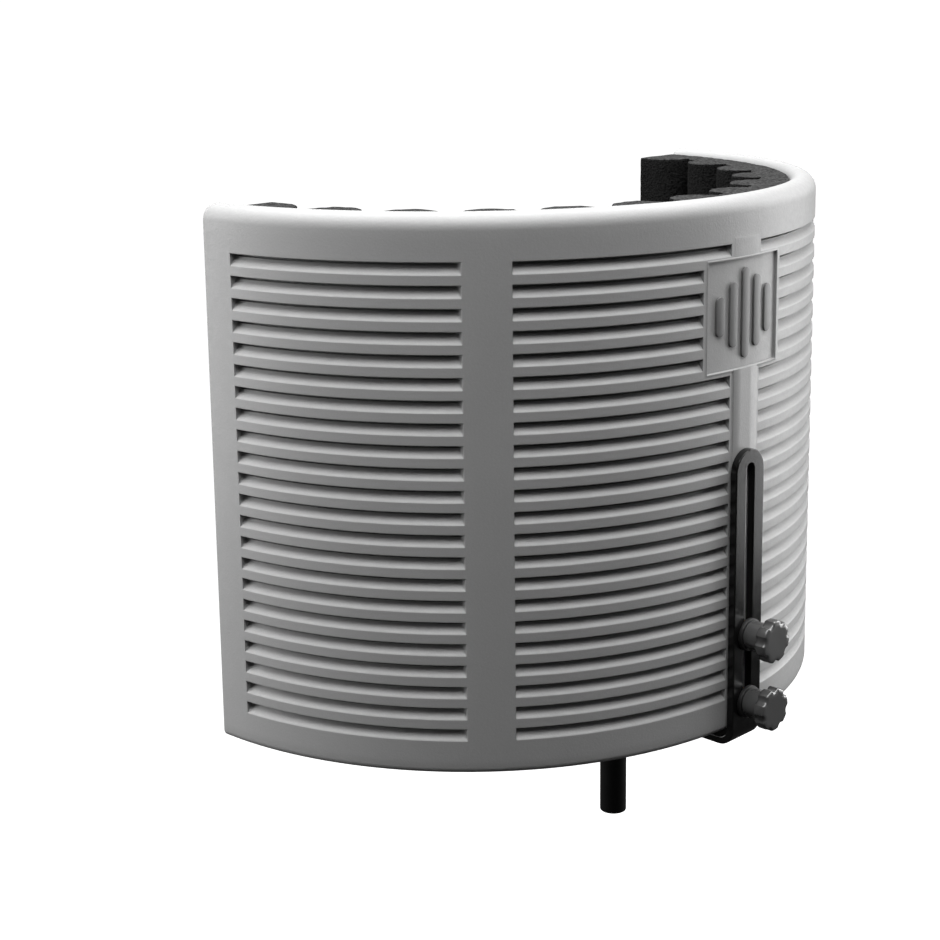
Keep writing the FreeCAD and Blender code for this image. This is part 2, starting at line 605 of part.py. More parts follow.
# ---- post and arm clamp -------------------------------------------------------------------------------
def stand_post():
    stem = post_disc(POST_RADIUS, 0, POST_TOP)
    collar = post_disc(POST_COLLAR_RADIUS, POST_TOP - POST_COLLAR_THICKNESS, POST_TOP)
    insert_socket = post_disc(STAND_INSERT_RADIUS + FIXED, -PAST, STAND_SOCKET_DEPTH)
    stud_socket = post_disc(STUD_RADIUS + FIXED, POST_TOP - STUD_FOOT_DEPTH, POST_TOP + PAST)
    return stem.fuse(collar).cut([insert_socket, stud_socket])


def stand_thread_insert():
    return post_ring(STAND_SOCKET_RADIUS, STAND_INSERT_RADIUS, 0, STAND_SOCKET_DEPTH - GAP)


def post_stud():
    return post_disc(STUD_RADIUS, POST_TOP - STUD_FOOT_DEPTH + GAP, MIC_THREAD_TOP - STUD_BELOW_TOP)


def friction_washer():
    return post_ring(STUD_RADIUS + FIXED, WASHER_RADIUS, FRICTION_WASHER_BOTTOM + GAP / 2,
                     FRICTION_WASHER_BOTTOM + FRICTION_WASHER)


def arm_guide():
    """Flanged guide. Its oblong neck fits the arm's slot, so it slides along the arm but can't turn."""
    neck_width = ARM_SLOT_WIDTH - 2 * GAP
    flange = post_disc(WASHER_RADIUS, GUIDE_BOTTOM, GUIDE_BOTTOM + GUIDE_FLANGE)
    half_run = (GUIDE_LENGTH - neck_width) / 2
    neck = slot_cutter(neck_width, Vector(0, -half_run, GUIDE_BOTTOM), Vector(0, half_run, GUIDE_BOTTOM),
                       Vector(0, 0, ARM_TOP - GAP - GUIDE_BOTTOM))
    bore = post_disc(STUD_RADIUS + RUNNING, GUIDE_BOTTOM - PAST, ARM_TOP + PAST)
    return flange.fuse(neck).cut(bore)


def clamp_washer():
    return post_ring(STUD_RADIUS + RUNNING, POST_COLLAR_RADIUS, CLAMP_WASHER_BOTTOM,
                     CLAMP_WASHER_BOTTOM + CLAMP_WASHER)


def lock_nut_grip():
    """Fluted hand nut that clamps the arm, bored for its metal thread bush."""
    top = LOCK_NUT_BOTTOM + LOCK_NUT_HEIGHT
    body = post_disc(LOCK_NUT_RADIUS, LOCK_NUT_BOTTOM, top)
    rims = [edge for edge in body.Edges if isinstance(edge.Curve, Part.Circle)]
    body = body.makeFillet(LOCK_NUT_BEVEL, rims)
    cutters = [post_disc(LOCK_NUT_BUSH_RADIUS + FIXED, LOCK_NUT_BOTTOM - PAST, top + PAST)]
    for index in range(LOCK_NUT_FLUTES):
        turn = 2 * math.pi * index / LOCK_NUT_FLUTES
        foot = Vector(LOCK_NUT_FLUTE_REACH * math.cos(turn), LOCK_NUT_FLUTE_REACH * math.sin(turn),
                      LOCK_NUT_BOTTOM - PAST)
        cutters.append(rod(LOCK_NUT_FLUTE_RADIUS, foot, LOCK_NUT_HEIGHT + 2 * PAST, UP))
    return body.cut(cutters)


def lock_nut_bush():
    return post_ring(STUD_RADIUS + RUNNING, LOCK_NUT_BUSH_RADIUS, LOCK_NUT_BOTTOM,
                     LOCK_NUT_BOTTOM + LOCK_NUT_HEIGHT)


def mic_thread_adapter():
    """Screws over the stud's upper end and carries the thread that a microphone clip fits."""
    flange = post_disc(MIC_FLANGE_RADIUS, MIC_FLANGE_BOTTOM, MIC_FLANGE_BOTTOM + MIC_FLANGE_HEIGHT)
    thread = post_disc(MIC_THREAD_RADIUS, MIC_FLANGE_BOTTOM, MIC_THREAD_TOP)
    bore = post_disc(STUD_RADIUS + FIXED, MIC_FLANGE_BOTTOM - PAST, MIC_THREAD_TOP + PAST)
    return flange.fuse(thread).cut(bore)


# ---- export -------------------------------------------------------------------------------------------
def all_nodes():
    nodes = {
        "outer_shell": outer_shell(),
        "foam_liner": foam_liner(),
        "wool_absorber": wool_absorber(),
        "gap_spacers": gap_spacers(),
        "mounting_plate": mounting_plate(),
        "plate_screws": plate_screws(),
        "emblem_bars": emblem_bars(),
        "bracket_plate": bracket_plate(),
        "arm_guide": arm_guide(),
        "clamp_washer": clamp_washer(),
        "lock_nut_grip": lock_nut_grip(),
        "lock_nut_bush": lock_nut_bush(),
        "stand_post": stand_post(),
        "stand_thread_insert": stand_thread_insert(),
        "post_stud": post_stud(),
        "friction_washer": friction_washer(),
        "mic_thread_adapter": mic_thread_adapter(),
    }
    for place, height in KNOB_HEIGHTS.items():
        nodes["threaded_insert_" + place] = threaded_insert(height)
        nodes["knob_grip_" + place] = knob_grip(height)
        nodes["knob_stud_" + place] = knob_stud(height)
        nodes["knob_washer_" + place] = knob_washer(height)
    return nodes


os.makedirs("parts", exist_ok=True)
for name, shape in all_nodes().items():
    solids = shape.Solids
    whole = solids[0] if len(solids) == 1 else Part.makeCompound(solids)
    whole.exportStep("parts/" + name + ".step")
    print(name, len(solids), "solid(s)", round(whole.Volume / 1000.0, 2), "cm3", whole.isValid())
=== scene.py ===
import math

import bmesh
import bpy
import numpy as np
from mathutils import Matrix, Vector, noise


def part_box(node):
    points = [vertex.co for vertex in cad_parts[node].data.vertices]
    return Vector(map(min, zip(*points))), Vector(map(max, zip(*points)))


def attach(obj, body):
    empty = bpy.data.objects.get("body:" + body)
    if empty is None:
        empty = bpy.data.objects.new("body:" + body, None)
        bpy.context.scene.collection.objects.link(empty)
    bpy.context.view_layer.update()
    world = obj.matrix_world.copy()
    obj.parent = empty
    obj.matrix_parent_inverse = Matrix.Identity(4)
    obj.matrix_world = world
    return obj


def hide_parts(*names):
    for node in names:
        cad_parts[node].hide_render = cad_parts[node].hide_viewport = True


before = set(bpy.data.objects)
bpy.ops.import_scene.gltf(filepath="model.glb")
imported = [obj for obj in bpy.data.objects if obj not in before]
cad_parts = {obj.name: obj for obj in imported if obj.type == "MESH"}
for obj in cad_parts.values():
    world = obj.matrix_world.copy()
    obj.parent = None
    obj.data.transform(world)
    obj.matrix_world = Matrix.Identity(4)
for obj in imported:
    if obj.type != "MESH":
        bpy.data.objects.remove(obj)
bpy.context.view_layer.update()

# A microphone isolation shield: a grooved shell round a foam lining, on a slotted angle bracket that is
# clamped to a stand post. Metres, in the CAD frame: +Z up, the closed back faces -Y. Angles round the shell
# are measured from the middle of the back, positive towards +X.

MM = 0.001

# ---- the shell's own frame, from the CAD solids -----------------------------------------------------------
shell_low, shell_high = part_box("outer_shell")
HALF_ANGLE = 88.7
SHELL_RADIUS = (shell_high.x - shell_low.x) / 2 / math.sin(math.radians(HALF_ANGLE))
SEAT_FACE = SHELL_RADIUS + 0.3 * MM
AXIS_Y = shell_low.y + SEAT_FACE
SHELL_BOTTOM = shell_low.z
SHELL_HEIGHT = shell_high.z - shell_low.z
RIM_RADIUS = SHELL_RADIUS - 15.5 * MM
CAVITY_RADIUS = SHELL_RADIUS - 6.7 * MM
RIM_THICKNESS = 3.0 * MM
TOP_EDGE_RADIUS = 9.0 * MM
TOP_INNER_RADIUS = 6.5 * MM
TOP_LIP_HEIGHT = 12.0 * MM
TOP_LIP_THICKNESS = 2.5 * MM
BOTTOM_EDGE_RADIUS = 3.5 * MM
END_EDGE_RADIUS = 1.2 * MM

# ---- grooves ----------------------------------------------------------------------------------------------
GROOVE_ROWS = 22
GROOVE_PITCH = 12.02 * MM
GROOVE_HEIGHT = 6.5 * MM
GROOVE_DEPTH = 4.5 * MM
RAMP_DEPTH = 3.6 * MM
RAMP_CURVE = 1.35               # above 1, the ramp is upright at the slit and flatter at the lip
SLIT_HEIGHT = 1.7 * MM
SLIT_DEPTH = GROOVE_DEPTH + 1.3 * MM
INNER_END_STEEPNESS = 2.5
OUTER_END_SLOPE = 30.0 * MM      # depth gained for each degree from the end farthest from the back
TOP_GROOVE = SHELL_HEIGHT - 25.2 * MM
PANELS = ((3.6, 39.7), (46.8, 83.0))
BADGE_ROWS = (1, 2, 3, 4, 5)
BADGE_ROW_START = 9.4
BADGE_HALF_ANGLE = 8.5
BADGE_LOW = 208.7 * MM
BADGE_HIGH = 269.5 * MM
BADGE_DEPTH = 1.3 * MM
SEAT_HALF_WIDTH = 10.5 * MM
SEAT_HALF_ANGLE = math.degrees(math.asin(SEAT_HALF_WIDTH / SHELL_RADIUS))
SEAT_LOW = 9.0 * MM
UPPER_FLAT_HIGH = 281.0 * MM    # a faint flat carries on above the badge
UPPER_FLAT_PROUD = 0.06 * MM
BADGE_BORDER = 0.9 * MM         # width of the fine raised line round the badge
BADGE_BORDER_PROUD = 0.2 * MM
EDGE_BLEND = 0.35 * MM          # width over which the badge and the flats ease in

SHELL_TURN = math.radians(1.0) * SHELL_RADIUS     # length of one degree of the shell's outside


# ---- mesh helpers -----------------------------------------------------------------------------------------
def place(radius, angle, z):
    """A point from its radius and angle (degrees) round the shell's axis."""
    turn = math.radians(angle)
    return (radius * math.sin(turn), AXIS_Y - radius * math.cos(turn), z)


def new_piece(name, points, faces, body, replaced, material, sharp=35.0):
    """A mesh piece of the object that rides on a body and stands for one CAD node."""
    mesh = bpy.data.meshes.new(name)
    mesh.from_pydata([tuple(point) for point in points], [], faces)
    tidy = bmesh.new()
    tidy.from_mesh(mesh)
    bmesh.ops.remove_doubles(tidy, verts=tidy.verts, dist=1e-6)
    bmesh.ops.recalc_face_normals(tidy, faces=tidy.faces)
    tidy.to_mesh(mesh)
    tidy.free()
    return finish_piece(name, mesh, body, replaced, material, sharp)


def finish_piece(name, mesh, body, replaced, material, sharp):
    mesh.shade_smooth()
    mesh.set_sharp_from_angle(angle=math.radians(sharp))
    piece = bpy.data.objects.new(name, mesh)
    bpy.context.collection.objects.link(piece)
    piece.data.materials.append(material)
    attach(piece, body)
    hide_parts(replaced)
    return piece


def grid_faces(rows, columns, offset=0, closed=False):
    """Quads of a grid whose points run row by row. A closed grid joins its last column to its first."""
    faces = []
    last = columns if closed else columns - 1
    for row in range(rows - 1):
        for column in range(last):
            a = offset + row * columns + column
            b = offset + row * columns + (column + 1) % columns
            faces.append((a, b, b + columns, a + columns))
    return faces


def lathe(stations, outline, frame_of, steps):
    """Points and faces of a turned body. Each station gives (radius, distance along the axis), and
    outline(radius, turn) may vary the radius round it. frame_of places (x, y, distance)."""
    points = []
    for radius, along in stations:
        for step in range(steps):
            turn = 2 * math.pi * step / steps
            reach = outline(radius, turn)
            points.append(frame_of(reach * math.cos(turn), reach * math.sin(turn), along))
    faces = grid_faces(len(stations), steps, closed=True)
    return points, faces


def round_outline(radius, turn):
    return radius


def bevelled(inner, outer, low, high, bevel):
    """Stations of a ring's section with bevelled corners, run once round from the bore and back to it."""
    stations = []
    segments = 3
    corners = (
        (inner + bevel, low + bevel, 180, 270),
        (outer - bevel, low + bevel, 270, 360),
        (outer - bevel, high - bevel, 0, 90),
        (inner + bevel, high - bevel, 90, 180),
    )
    for radius, along, first, last in corners:
        for step in range(segments + 1):
            turn = math.radians(first + (last - first) * step / segments)
            stations.append((radius + bevel * math.cos(turn), along + bevel * math.sin(turn)))
    stations.append(stations[0])
    return stations


def upright(x, y, along):
    return (x, y, along)


def from_the_back(height):
    """Places a turned body on a knob's axis: distances are from the shell's axis, outwards from the back."""
    def placed(x, y, along):
        return (x, AXIS_Y - along, height + y)
    return placed


# ---- material helpers -------------------------------------------------------------------------------------
class Finish:
    """A procedural material: a Principled shader with noise-driven colour, roughness and bump."""

    def __init__(self, name, colour, roughness, metallic=0.0, coat=0.0, sheen=0.0):
        self.material = bpy.data.materials.new(name)
        self.material.use_nodes = True
        self.nodes = self.material.node_tree.nodes
        self.links = self.material.node_tree.links
        self.shader = self.nodes["Principled BSDF"]
        self.shader.inputs["Base Color"].default_value = (*colour, 1.0)
        self.shader.inputs["Roughness"].default_value = roughness
        self.shader.inputs["Metallic"].default_value = metallic
        self.shader.inputs["Coat Weight"].default_value = coat
        self.shader.inputs["Sheen Weight"].default_value = sheen
        self.colour = colour
        self.coords = self.nodes.new("ShaderNodeTexCoord").outputs["Object"]
        self.bump = None

    def noise(self, size, detail=2.0, stretch=None):
        """Noise whose features are about `size` metres across, optionally stretched along the axes."""
        texture = self.nodes.new("ShaderNodeTexNoise")
        texture.inputs["Scale"].default_value = 1.0 / size
        texture.inputs["Detail"].default_value = detail
        source = self.coords
        if stretch:
            mapping = self.nodes.new("ShaderNodeMapping")
            mapping.inputs["Scale"].default_value = stretch
            self.links.new(source, mapping.inputs["Vector"])
            source = mapping.outputs["Vector"]
        self.links.new(source, texture.inputs["Vector"])
        return texture.outputs["Fac"]

    def cells(self, size):
        """Rounded cells about `size` metres across, 0 at their middles."""
        texture = self.nodes.new("ShaderNodeTexVoronoi")
        texture.inputs["Scale"].default_value = 1.0 / size
        self.links.new(self.coords, texture.inputs["Vector"])
        return texture.outputs["Distance"]

    def spread(self, source, low, high, from_low=0.3, from_high=0.7):
        """Maps a texture's range to another range."""
        mapped = self.nodes.new("ShaderNodeMapRange")
        mapped.inputs["From Min"].default_value = from_low
        mapped.inputs["From Max"].default_value = from_high
        mapped.inputs["To Min"].default_value = low
        mapped.inputs["To Max"].default_value = high
        self.links.new(source, mapped.inputs["Value"])
        return mapped.outputs["Result"]

    def mix_colour(self, factor, other, source=None):
        """Blends the base colour, or an earlier blend, towards another colour."""
        mix = self.nodes.new("ShaderNodeMix")
        mix.data_type = "RGBA"
        mix.inputs["A"].default_value = (*self.colour, 1.0)
        mix.inputs["B"].default_value = (*other, 1.0)
        if source is not None:
            self.links.new(source, mix.inputs["A"])
        self.links.new(factor, mix.inputs["Factor"])
        self.links.new(mix.outputs["Result"], self.shader.inputs["Base Color"])
        return mix.outputs["Result"]

    def set_roughness(self, value):
        self.links.new(value, self.shader.inputs["Roughness"])

    def add_bump(self, height, distance, strength=1.0):
        """Adds one layer of relief, `distance` metres high, on top of the layers before it."""
        layer = self.nodes.new("ShaderNodeBump")
        layer.inputs["Strength"].default_value = strength
        layer.inputs["Distance"].default_value = distance
        self.links.new(height, layer.inputs["Height"])
        if self.bump is not None:
            self.links.new(self.bump, layer.inputs["Normal"])
        self.bump = layer.outputs["Normal"]
        self.links.new(self.bump, self.shader.inputs["Normal"])


def grey(value):
    return (value, value, value)


def moulded_plastic(name, tone, roughness, grain, relief, waviness=0.12 * MM, mottle=1.0, metallic=0.0,
                    coat=0.0):
    """Moulded plastic with a fine spark-eroded grain, a faint cloudiness and slightly uneven flats. Mottle
    scales the specks in its colour and gloss, metallic is the share of metal flakes in its pigment, and a
    coat adds a polished skin."""
    finish = Finish(name, grey(tone), roughness, metallic, coat)
    finish.shader.inputs["Coat Roughness"].default_value = 0.14
    clouds = finish.spread(finish.noise(60 * MM, 3.0), 0.0, 1.0)
    cloudy = finish.mix_colour(clouds, grey(tone * 0.94))
    specks = finish.spread(finish.noise(grain * 0.6, 2.0), 0.0, 0.35 * mottle, 0.45, 0.8)
    finish.mix_colour(specks, grey(tone * 1.12), cloudy)
    uneven = 0.06 * mottle
    gloss = finish.noise(grain * 2.0, 2.0)
    finish.set_roughness(finish.spread(gloss, roughness - uneven, roughness + uneven))
    finish.add_bump(finish.noise(grain, 3.0), relief)
    finish.add_bump(finish.noise(14 * MM, 2.0), waviness, 0.6)
    return finish.material


def powder_coat(name, tone, roughness):
    """Black powder coat on steel: a fine orange-peel surface with a soft gloss."""
    finish = Finish(name, grey(tone), roughness)
    finish.shader.inputs["Specular IOR Level"].default_value = 0.3
    clouds = finish.spread(finish.noise(25 * MM, 3.0), 0.0, 1.0)
    finish.mix_colour(clouds, grey(tone * 1.25))
    finish.set_roughness(finish.spread(finish.noise(6 * MM, 3.0), roughness - 0.02, roughness + 0.04))
    finish.add_bump(finish.noise(0.9 * MM, 2.0), 0.012 * MM)
    finish.add_bump(finish.noise(0.3 * MM, 1.0), 0.005 * MM)
    return finish.material


def bare_metal(name, colour, roughness, brushed):
    """Plated or turned metal with fine tool marks, stretched along one axis."""
    finish = Finish(name, colour, roughness, metallic=1.0)
    marks = finish.noise(0.5 * MM, 2.0, stretch=brushed)
    stain = finish.spread(finish.noise(5 * MM, 3.0), 0.0, 0.5)
    finish.mix_colour(stain, tuple(part * 0.78 for part in colour))
    finish.set_roughness(finish.spread(marks, roughness - 0.08, roughness + 0.12))
    finish.add_bump(marks, 0.012 * MM)
    return finish.material


def open_cell_foam(name, tone, cell, wall=2.6, fibre=3.4):
    """Open-cell foam: pits with thin brighter walls and torn fibres, given as multiples of the pits' tone."""
    finish = Finish(name, grey(tone), 0.95)
    finish.shader.inputs["Specular IOR Level"].default_value = 0.08
    pores = finish.cells(cell)
    ragged = finish.noise(cell * 0.7, 3.0)
    walls = finish.spread(pores, 0.0, 1.0, 0.25, 0.75)
    pitted = finish.mix_colour(walls, grey(tone * wall))
    fibres = finish.spread(ragged, 0.0, 0.8, 0.5, 0.75)
    finish.mix_colour(fibres, grey(tone * fibre), pitted)
    finish.add_bump(pores, cell * 0.55)
    finish.add_bump(ragged, cell * 0.45)
    return finish.material


def felted_wool(name, tone):
    finish = Finish(name, grey(tone), 0.98, sheen=0.3)
    tufts = finish.noise(6 * MM, 6.0)
    strands = finish.noise(0.7 * MM, 3.0, stretch=(1.0, 1.0, 0.25))
    finish.mix_colour(finish.spread(strands, 0.0, 1.0), grey(tone * 0.6))
    finish.add_bump(tufts, 1.2 * MM)
    finish.add_bump(strands, 0.4 * MM)
    return finish.material


# ---- materials --------------------------------------------------------------------------------------------
shell_plastic = moulded_plastic("shell_plastic", 0.275, 0.5, grain=1.3 * MM, relief=0.09 * MM)
emblem_grey = moulded_plastic("emblem_grey", 0.1, 0.5, grain=0.4 * MM, relief=0.003 * MM,
                              waviness=0.01 * MM, mottle=0.2)
knob_grey = moulded_plastic("knob_grey", 0.08, 0.22, grain=0.3 * MM, relief=0.0005 * MM,
                            waviness=0.004 * MM, mottle=0.1, metallic=0.25, coat=0.5)
black_plastic = moulded_plastic("black_plastic", 0.02, 0.4, grain=0.6 * MM, relief=0.03 * MM)
black_nylon = moulded_plastic("black_nylon", 0.006, 0.55, grain=0.5 * MM, relief=0.01 * MM)
black_steel = powder_coat("black_steel", 0.004, 0.18)
post_black = powder_coat("post_black", 0.003, 0.4)
zinc_steel = bare_metal("zinc_steel", (0.62, 0.62, 0.64), 0.32, (1.0, 1.0, 6.0))
brass = bare_metal("brass", (0.72, 0.55, 0.28), 0.28, (1.0, 1.0, 6.0))
foam_black = open_cell_foam("foam_black", 0.0024, 1.4 * MM, wall=3.0, fibre=5.0)
# Lighter foam with coarser cells for the faces that point up: its lighter tone is painted light, as if from
# the lamp above
foam_painted_lit_top = open_cell_foam("foam_painted_lit_top", 0.008, 2.2 * MM, wall=4.0, fibre=9.0)
spacer_black = open_cell_foam("spacer_black", 0.02, 0.8 * MM)
wool_grey = felted_wool("wool_grey", 0.4)


# ---- shell ------------------------------------------------------------------------------------------------
def groove_top(row):
    """Height of a groove's ledge above the lower rim."""
    return TOP_GROOVE - row * GROOVE_PITCH


def groove_section(row):
    """(height, depth, row) points up one groove: a crisp lip, a hollow ramp, a narrow slit under the ledge,
    then the ledge with its soft edge."""
    top = groove_top(row)
    edge = 0.35 * MM
    ramp = GROOVE_HEIGHT - SLIT_HEIGHT
    foot = top - GROOVE_HEIGHT
    points = [(foot - 0.5 * MM, 0.0, row), (foot - 0.15 * MM, 0.0, row), (foot, 0.05 * MM, row)]
    ramp_steps = 8
    for step in range(1, ramp_steps + 1):
        run = 1.0 - step / ramp_steps
        points.append((top - SLIT_HEIGHT - ramp * run, RAMP_DEPTH * (1.0 - run ** RAMP_CURVE), row))
    points.append((top - SLIT_HEIGHT + 0.05 * MM, SLIT_DEPTH, row))
    points.append((top - 0.05 * MM, SLIT_DEPTH, row))
    points.append((top, edge + 0.4 * MM, row))
    for step in range(4):
        turn = math.radians(90 * step / 3)
        points.append((top + 0.05 * MM + edge * math.sin(turn), edge * (1.0 - math.sin(turn)) ** 2, row))
    points.append((top + 0.8 * MM, 0.0, row))
    return points


def outer_rows():
    """Heights up the outside of the wall, each with the depth that a full groove has there."""
    rows = []
    for row in reversed(range(GROOVE_ROWS)):
        rows += groove_section(row)
    extra = []
    edges = (BADGE_LOW, BADGE_HIGH, BADGE_LOW - BADGE_BORDER, BADGE_HIGH + BADGE_BORDER, SEAT_LOW,
             UPPER_FLAT_HIGH)
    for height in edges:
        extra += [height + offset * MM for offset in (-0.2, -0.07, 0.07, 0.2)]
    low, high = BOTTOM_EDGE_RADIUS, SHELL_HEIGHT - TOP_EDGE_RADIUS
    extra += list(np.linspace(low, rows[0][0], 4)[1:-1])
    extra += list(np.linspace(rows[-1][0], high, 4)[1:-1])
    rows += [(height, 0.0, None) for height in extra]
    return sorted(rows, key=lambda entry: entry[0])


def groove_limit(angle, row):
    """How deep a groove can be at an angle: nothing outside the panels, and less beside a panel's ends.
    The end nearest the back slopes, leaning towards the way the mould opens, straight out of the back."""
    side = abs(angle)
    for first, last in PANELS:
        if row in BADGE_ROWS and first < BADGE_ROW_START:
            first = BADGE_ROW_START
        if first < side < last:
            along_pull = SHELL_RADIUS * (1.0 - math.sin(math.radians(first)) / math.sin(math.radians(side)))
            end_wall = (last - side) * OUTER_END_SLOPE
            return min(INNER_END_STEEPNESS * along_pull, end_wall)
    return 0.0


def soft_step(value, edge, width):
    """1 inside an edge and 0 outside it, easing over a width."""
    ratio = min(max((edge - value) / width + 0.5, 0.0), 1.0)
    return ratio * ratio * (3.0 - 2.0 * ratio)


def badge_area(angle, height, margin, blend):
    """1 on the badge and 0 away from it, for a badge that is larger by a margin."""
    middle = (BADGE_LOW + BADGE_HIGH) / 2
    across = soft_step(abs(angle) * SHELL_TURN, BADGE_HALF_ANGLE * SHELL_TURN + margin, blend)
    return across * soft_step(abs(height - middle), (BADGE_HIGH - BADGE_LOW) / 2 + margin, blend)


def surface_depth(angle, height, full_depth, row):
    """How far the shell's outer surface lies inside its outer radius."""
    groove = min(full_depth, groove_limit(angle, row)) if full_depth > 0.0 else 0.0
    badge = badge_area(angle, height, 0.0, EDGE_BLEND)
    border = badge_area(angle, height, BADGE_BORDER, 0.4 * MM) - badge
    flat = soft_step(abs(angle), SEAT_HALF_ANGLE, 0.1)
    seat = flat * soft_step(height, BADGE_LOW, EDGE_BLEND) * soft_step(-height, -SEAT_LOW, EDGE_BLEND)
    upper = flat * soft_step(height, UPPER_FLAT_HIGH, EDGE_BLEND)
    upper *= soft_step(-height, -BADGE_HIGH, EDGE_BLEND)
    proud = max((SEAT_FACE / math.cos(math.radians(angle)) - SHELL_RADIUS) * seat, UPPER_FLAT_PROUD * upper,
                BADGE_BORDER_PROUD * border)
    return max(groove, BADGE_DEPTH * badge) - proud * (1.0 - badge)


def shell_angles():
    """Columns round the shell, close together where grooves, the badge and the seat begin and end."""
    inner_end = (-0.12, -0.03, 0.02, 0.05, 0.09, 0.14, 0.3, 0.6, 1.0, 1.4)
    outer_end = (-0.16, -0.1, -0.05, 0.0, 0.08)
    side = []
    for first, last in PANELS:
        side += [first + offset for offset in inner_end]
        side += [last + offset for offset in outer_end]
    side += [BADGE_ROW_START + offset for offset in inner_end[:6]]
    for edge in (BADGE_HALF_ANGLE, BADGE_HALF_ANGLE + BADGE_BORDER / SHELL_TURN):
        side += [edge + offset for offset in (-0.05, -0.02, 0.02, 0.05)]
    side += [SEAT_HALF_ANGLE + offset for offset in (-0.06, -0.02, 0.02, 0.06)]
    limit = HALF_ANGLE - 1.6
    spaced = [angle for angle in np.arange(1.0, limit, 2.0)
              if min(abs(angle - other) for other in side) > 0.8]
    side = sorted(side + spaced)
    return [-angle for angle in reversed(side)] + [0.0] + side


def end_columns():
    """Angles and insets of the last columns, which round the shell's end off."""
    columns = []
    steps = 5
    for step in range(steps + 1):
        turn = math.radians(90 * step / steps)
        along = END_EDGE_RADIUS * (1.0 - math.sin(turn))
        inset = END_EDGE_RADIUS * (1.0 - math.cos(turn))
        columns.append((HALF_ANGLE - math.degrees(along / SHELL_RADIUS), inset))
    return columns


def shell_column(angle, inset, rows):
    """Points up the section at one angle, from the lower rim's inner edge round the outside to the upper
    rim's."""
    points = []

    def add(radius, height, out, up):
        points.append(place(radius - inset * out, angle, SHELL_BOTTOM + height - inset * up))

    rim_edge = 0.8 * MM
    add(RIM_RADIUS, rim_edge, 0, -0.3)
    add(RIM_RADIUS + rim_edge, 0.0, 0, -1)
    steps = 6
    centre = (SHELL_RADIUS - BOTTOM_EDGE_RADIUS, BOTTOM_EDGE_RADIUS)
    for step in range(steps):
        turn = math.radians(-90 + 90 * step / steps)
        add(centre[0] + BOTTOM_EDGE_RADIUS * math.cos(turn), centre[1] + BOTTOM_EDGE_RADIUS * math.sin(turn),
            math.cos(turn), math.sin(turn))
    add(SHELL_RADIUS, BOTTOM_EDGE_RADIUS, 1, 0)
    for height, full_depth, row in rows:
        depth = surface_depth(angle, height, full_depth, row)
        add(SHELL_RADIUS - depth, height, 1, 0)
    centre = (SHELL_RADIUS - TOP_EDGE_RADIUS, SHELL_HEIGHT - TOP_EDGE_RADIUS)
    steps = 12
    for step in range(steps + 1):
        turn = math.radians(90 * step / steps)
        add(centre[0] + TOP_EDGE_RADIUS * math.cos(turn), centre[1] + TOP_EDGE_RADIUS * math.sin(turn),
            math.cos(turn), math.sin(turn))
    centre = (RIM_RADIUS + TOP_INNER_RADIUS, SHELL_HEIGHT - TOP_INNER_RADIUS)
    steps = 9
    for step in range(1, steps + 1):
        turn = math.radians(90 + 90 * step / steps)
        add(centre[0] + TOP_INNER_RADIUS * math.cos(turn), centre[1] + TOP_INNER_RADIUS * math.sin(turn),
            0, math.sin(turn))
    return points


def shell_inside(angle, inset, solid):
    """Points down the inside of the section: the upper rim's lip, the cavity and the lower rim. Where the
    shell ends, the section is solid, so these points lie in line with the rims."""
    lip = RIM_RADIUS + TOP_LIP_THICKNESS
    low, high = RIM_THICKNESS, SHELL_HEIGHT - RIM_THICKNESS
    lip_low = SHELL_HEIGHT - TOP_LIP_HEIGHT
    hollow = [(RIM_RADIUS, lip_low), (lip, lip_low), (lip, SHELL_HEIGHT - TOP_INNER_RADIUS),
              (SHELL_RADIUS - TOP_EDGE_RADIUS, high), (CAVITY_RADIUS, high)]
    hollow += [(CAVITY_RADIUS, height) for height in np.linspace(high, low, 7)[1:]]
    hollow.append((RIM_RADIUS, low))
    if solid:
        heights = np.linspace(lip_low, low, len(hollow))
        hollow = [(RIM_RADIUS, height) for height in heights]
    return [place(radius, angle, SHELL_BOTTOM + height) for radius, height in hollow]


def make_shell():
    rows = outer_rows()
    ends = end_columns()
    flange_start = HALF_ANGLE - math.degrees(RIM_THICKNESS / SHELL_RADIUS)
    columns = [(-angle, inset, True) for angle, inset in reversed(ends)]
    columns += [(-flange_start, 0.0, True), (-flange_start + 0.02, 0.0, False)]
    columns += [(angle, 0.0, False) for angle in shell_angles()]
    columns += [(flange_start - 0.02, 0.0, False), (flange_start, 0.0, True)]
    columns += [(angle, inset, True) for angle, inset in ends]
    points = []
    for angle, inset, solid in columns:
        loop = shell_column(angle, inset, rows) + shell_inside(angle, inset, solid)
        size = len(loop)
        points += loop
    faces = grid_faces(len(columns), size, closed=True)
    faces.append(tuple(range(size)))
    faces.append(tuple(range(len(points) - size, len(points))))
    new_piece("shell_moulding", points, faces, "shield", "outer_shell", shell_plastic,
              sharp=50.0)


make_shell()


# ---- foam liner -------------------------------------------------------------------------------------------
foam_low, foam_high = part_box("foam_liner")
FOAM_HALF_ANGLE = 88.5
FOAM_BACK_RADIUS = (foam_high.x - foam_low.x) / 2 / math.sin(math.radians(FOAM_HALF_ANGLE))
FOAM_VALLEY_RADIUS = FOAM_BACK_RADIUS - 18.2 * MM
FOAM_TIP_RADIUS = FOAM_BACK_RADIUS - 34.2 * MM
FOAM_RIBS = 13
FOAM_RIB_PITCH = 14.0
FOAM_RIB_RADIUS = FOAM_VALLEY_RADIUS - FOAM_TIP_RADIUS


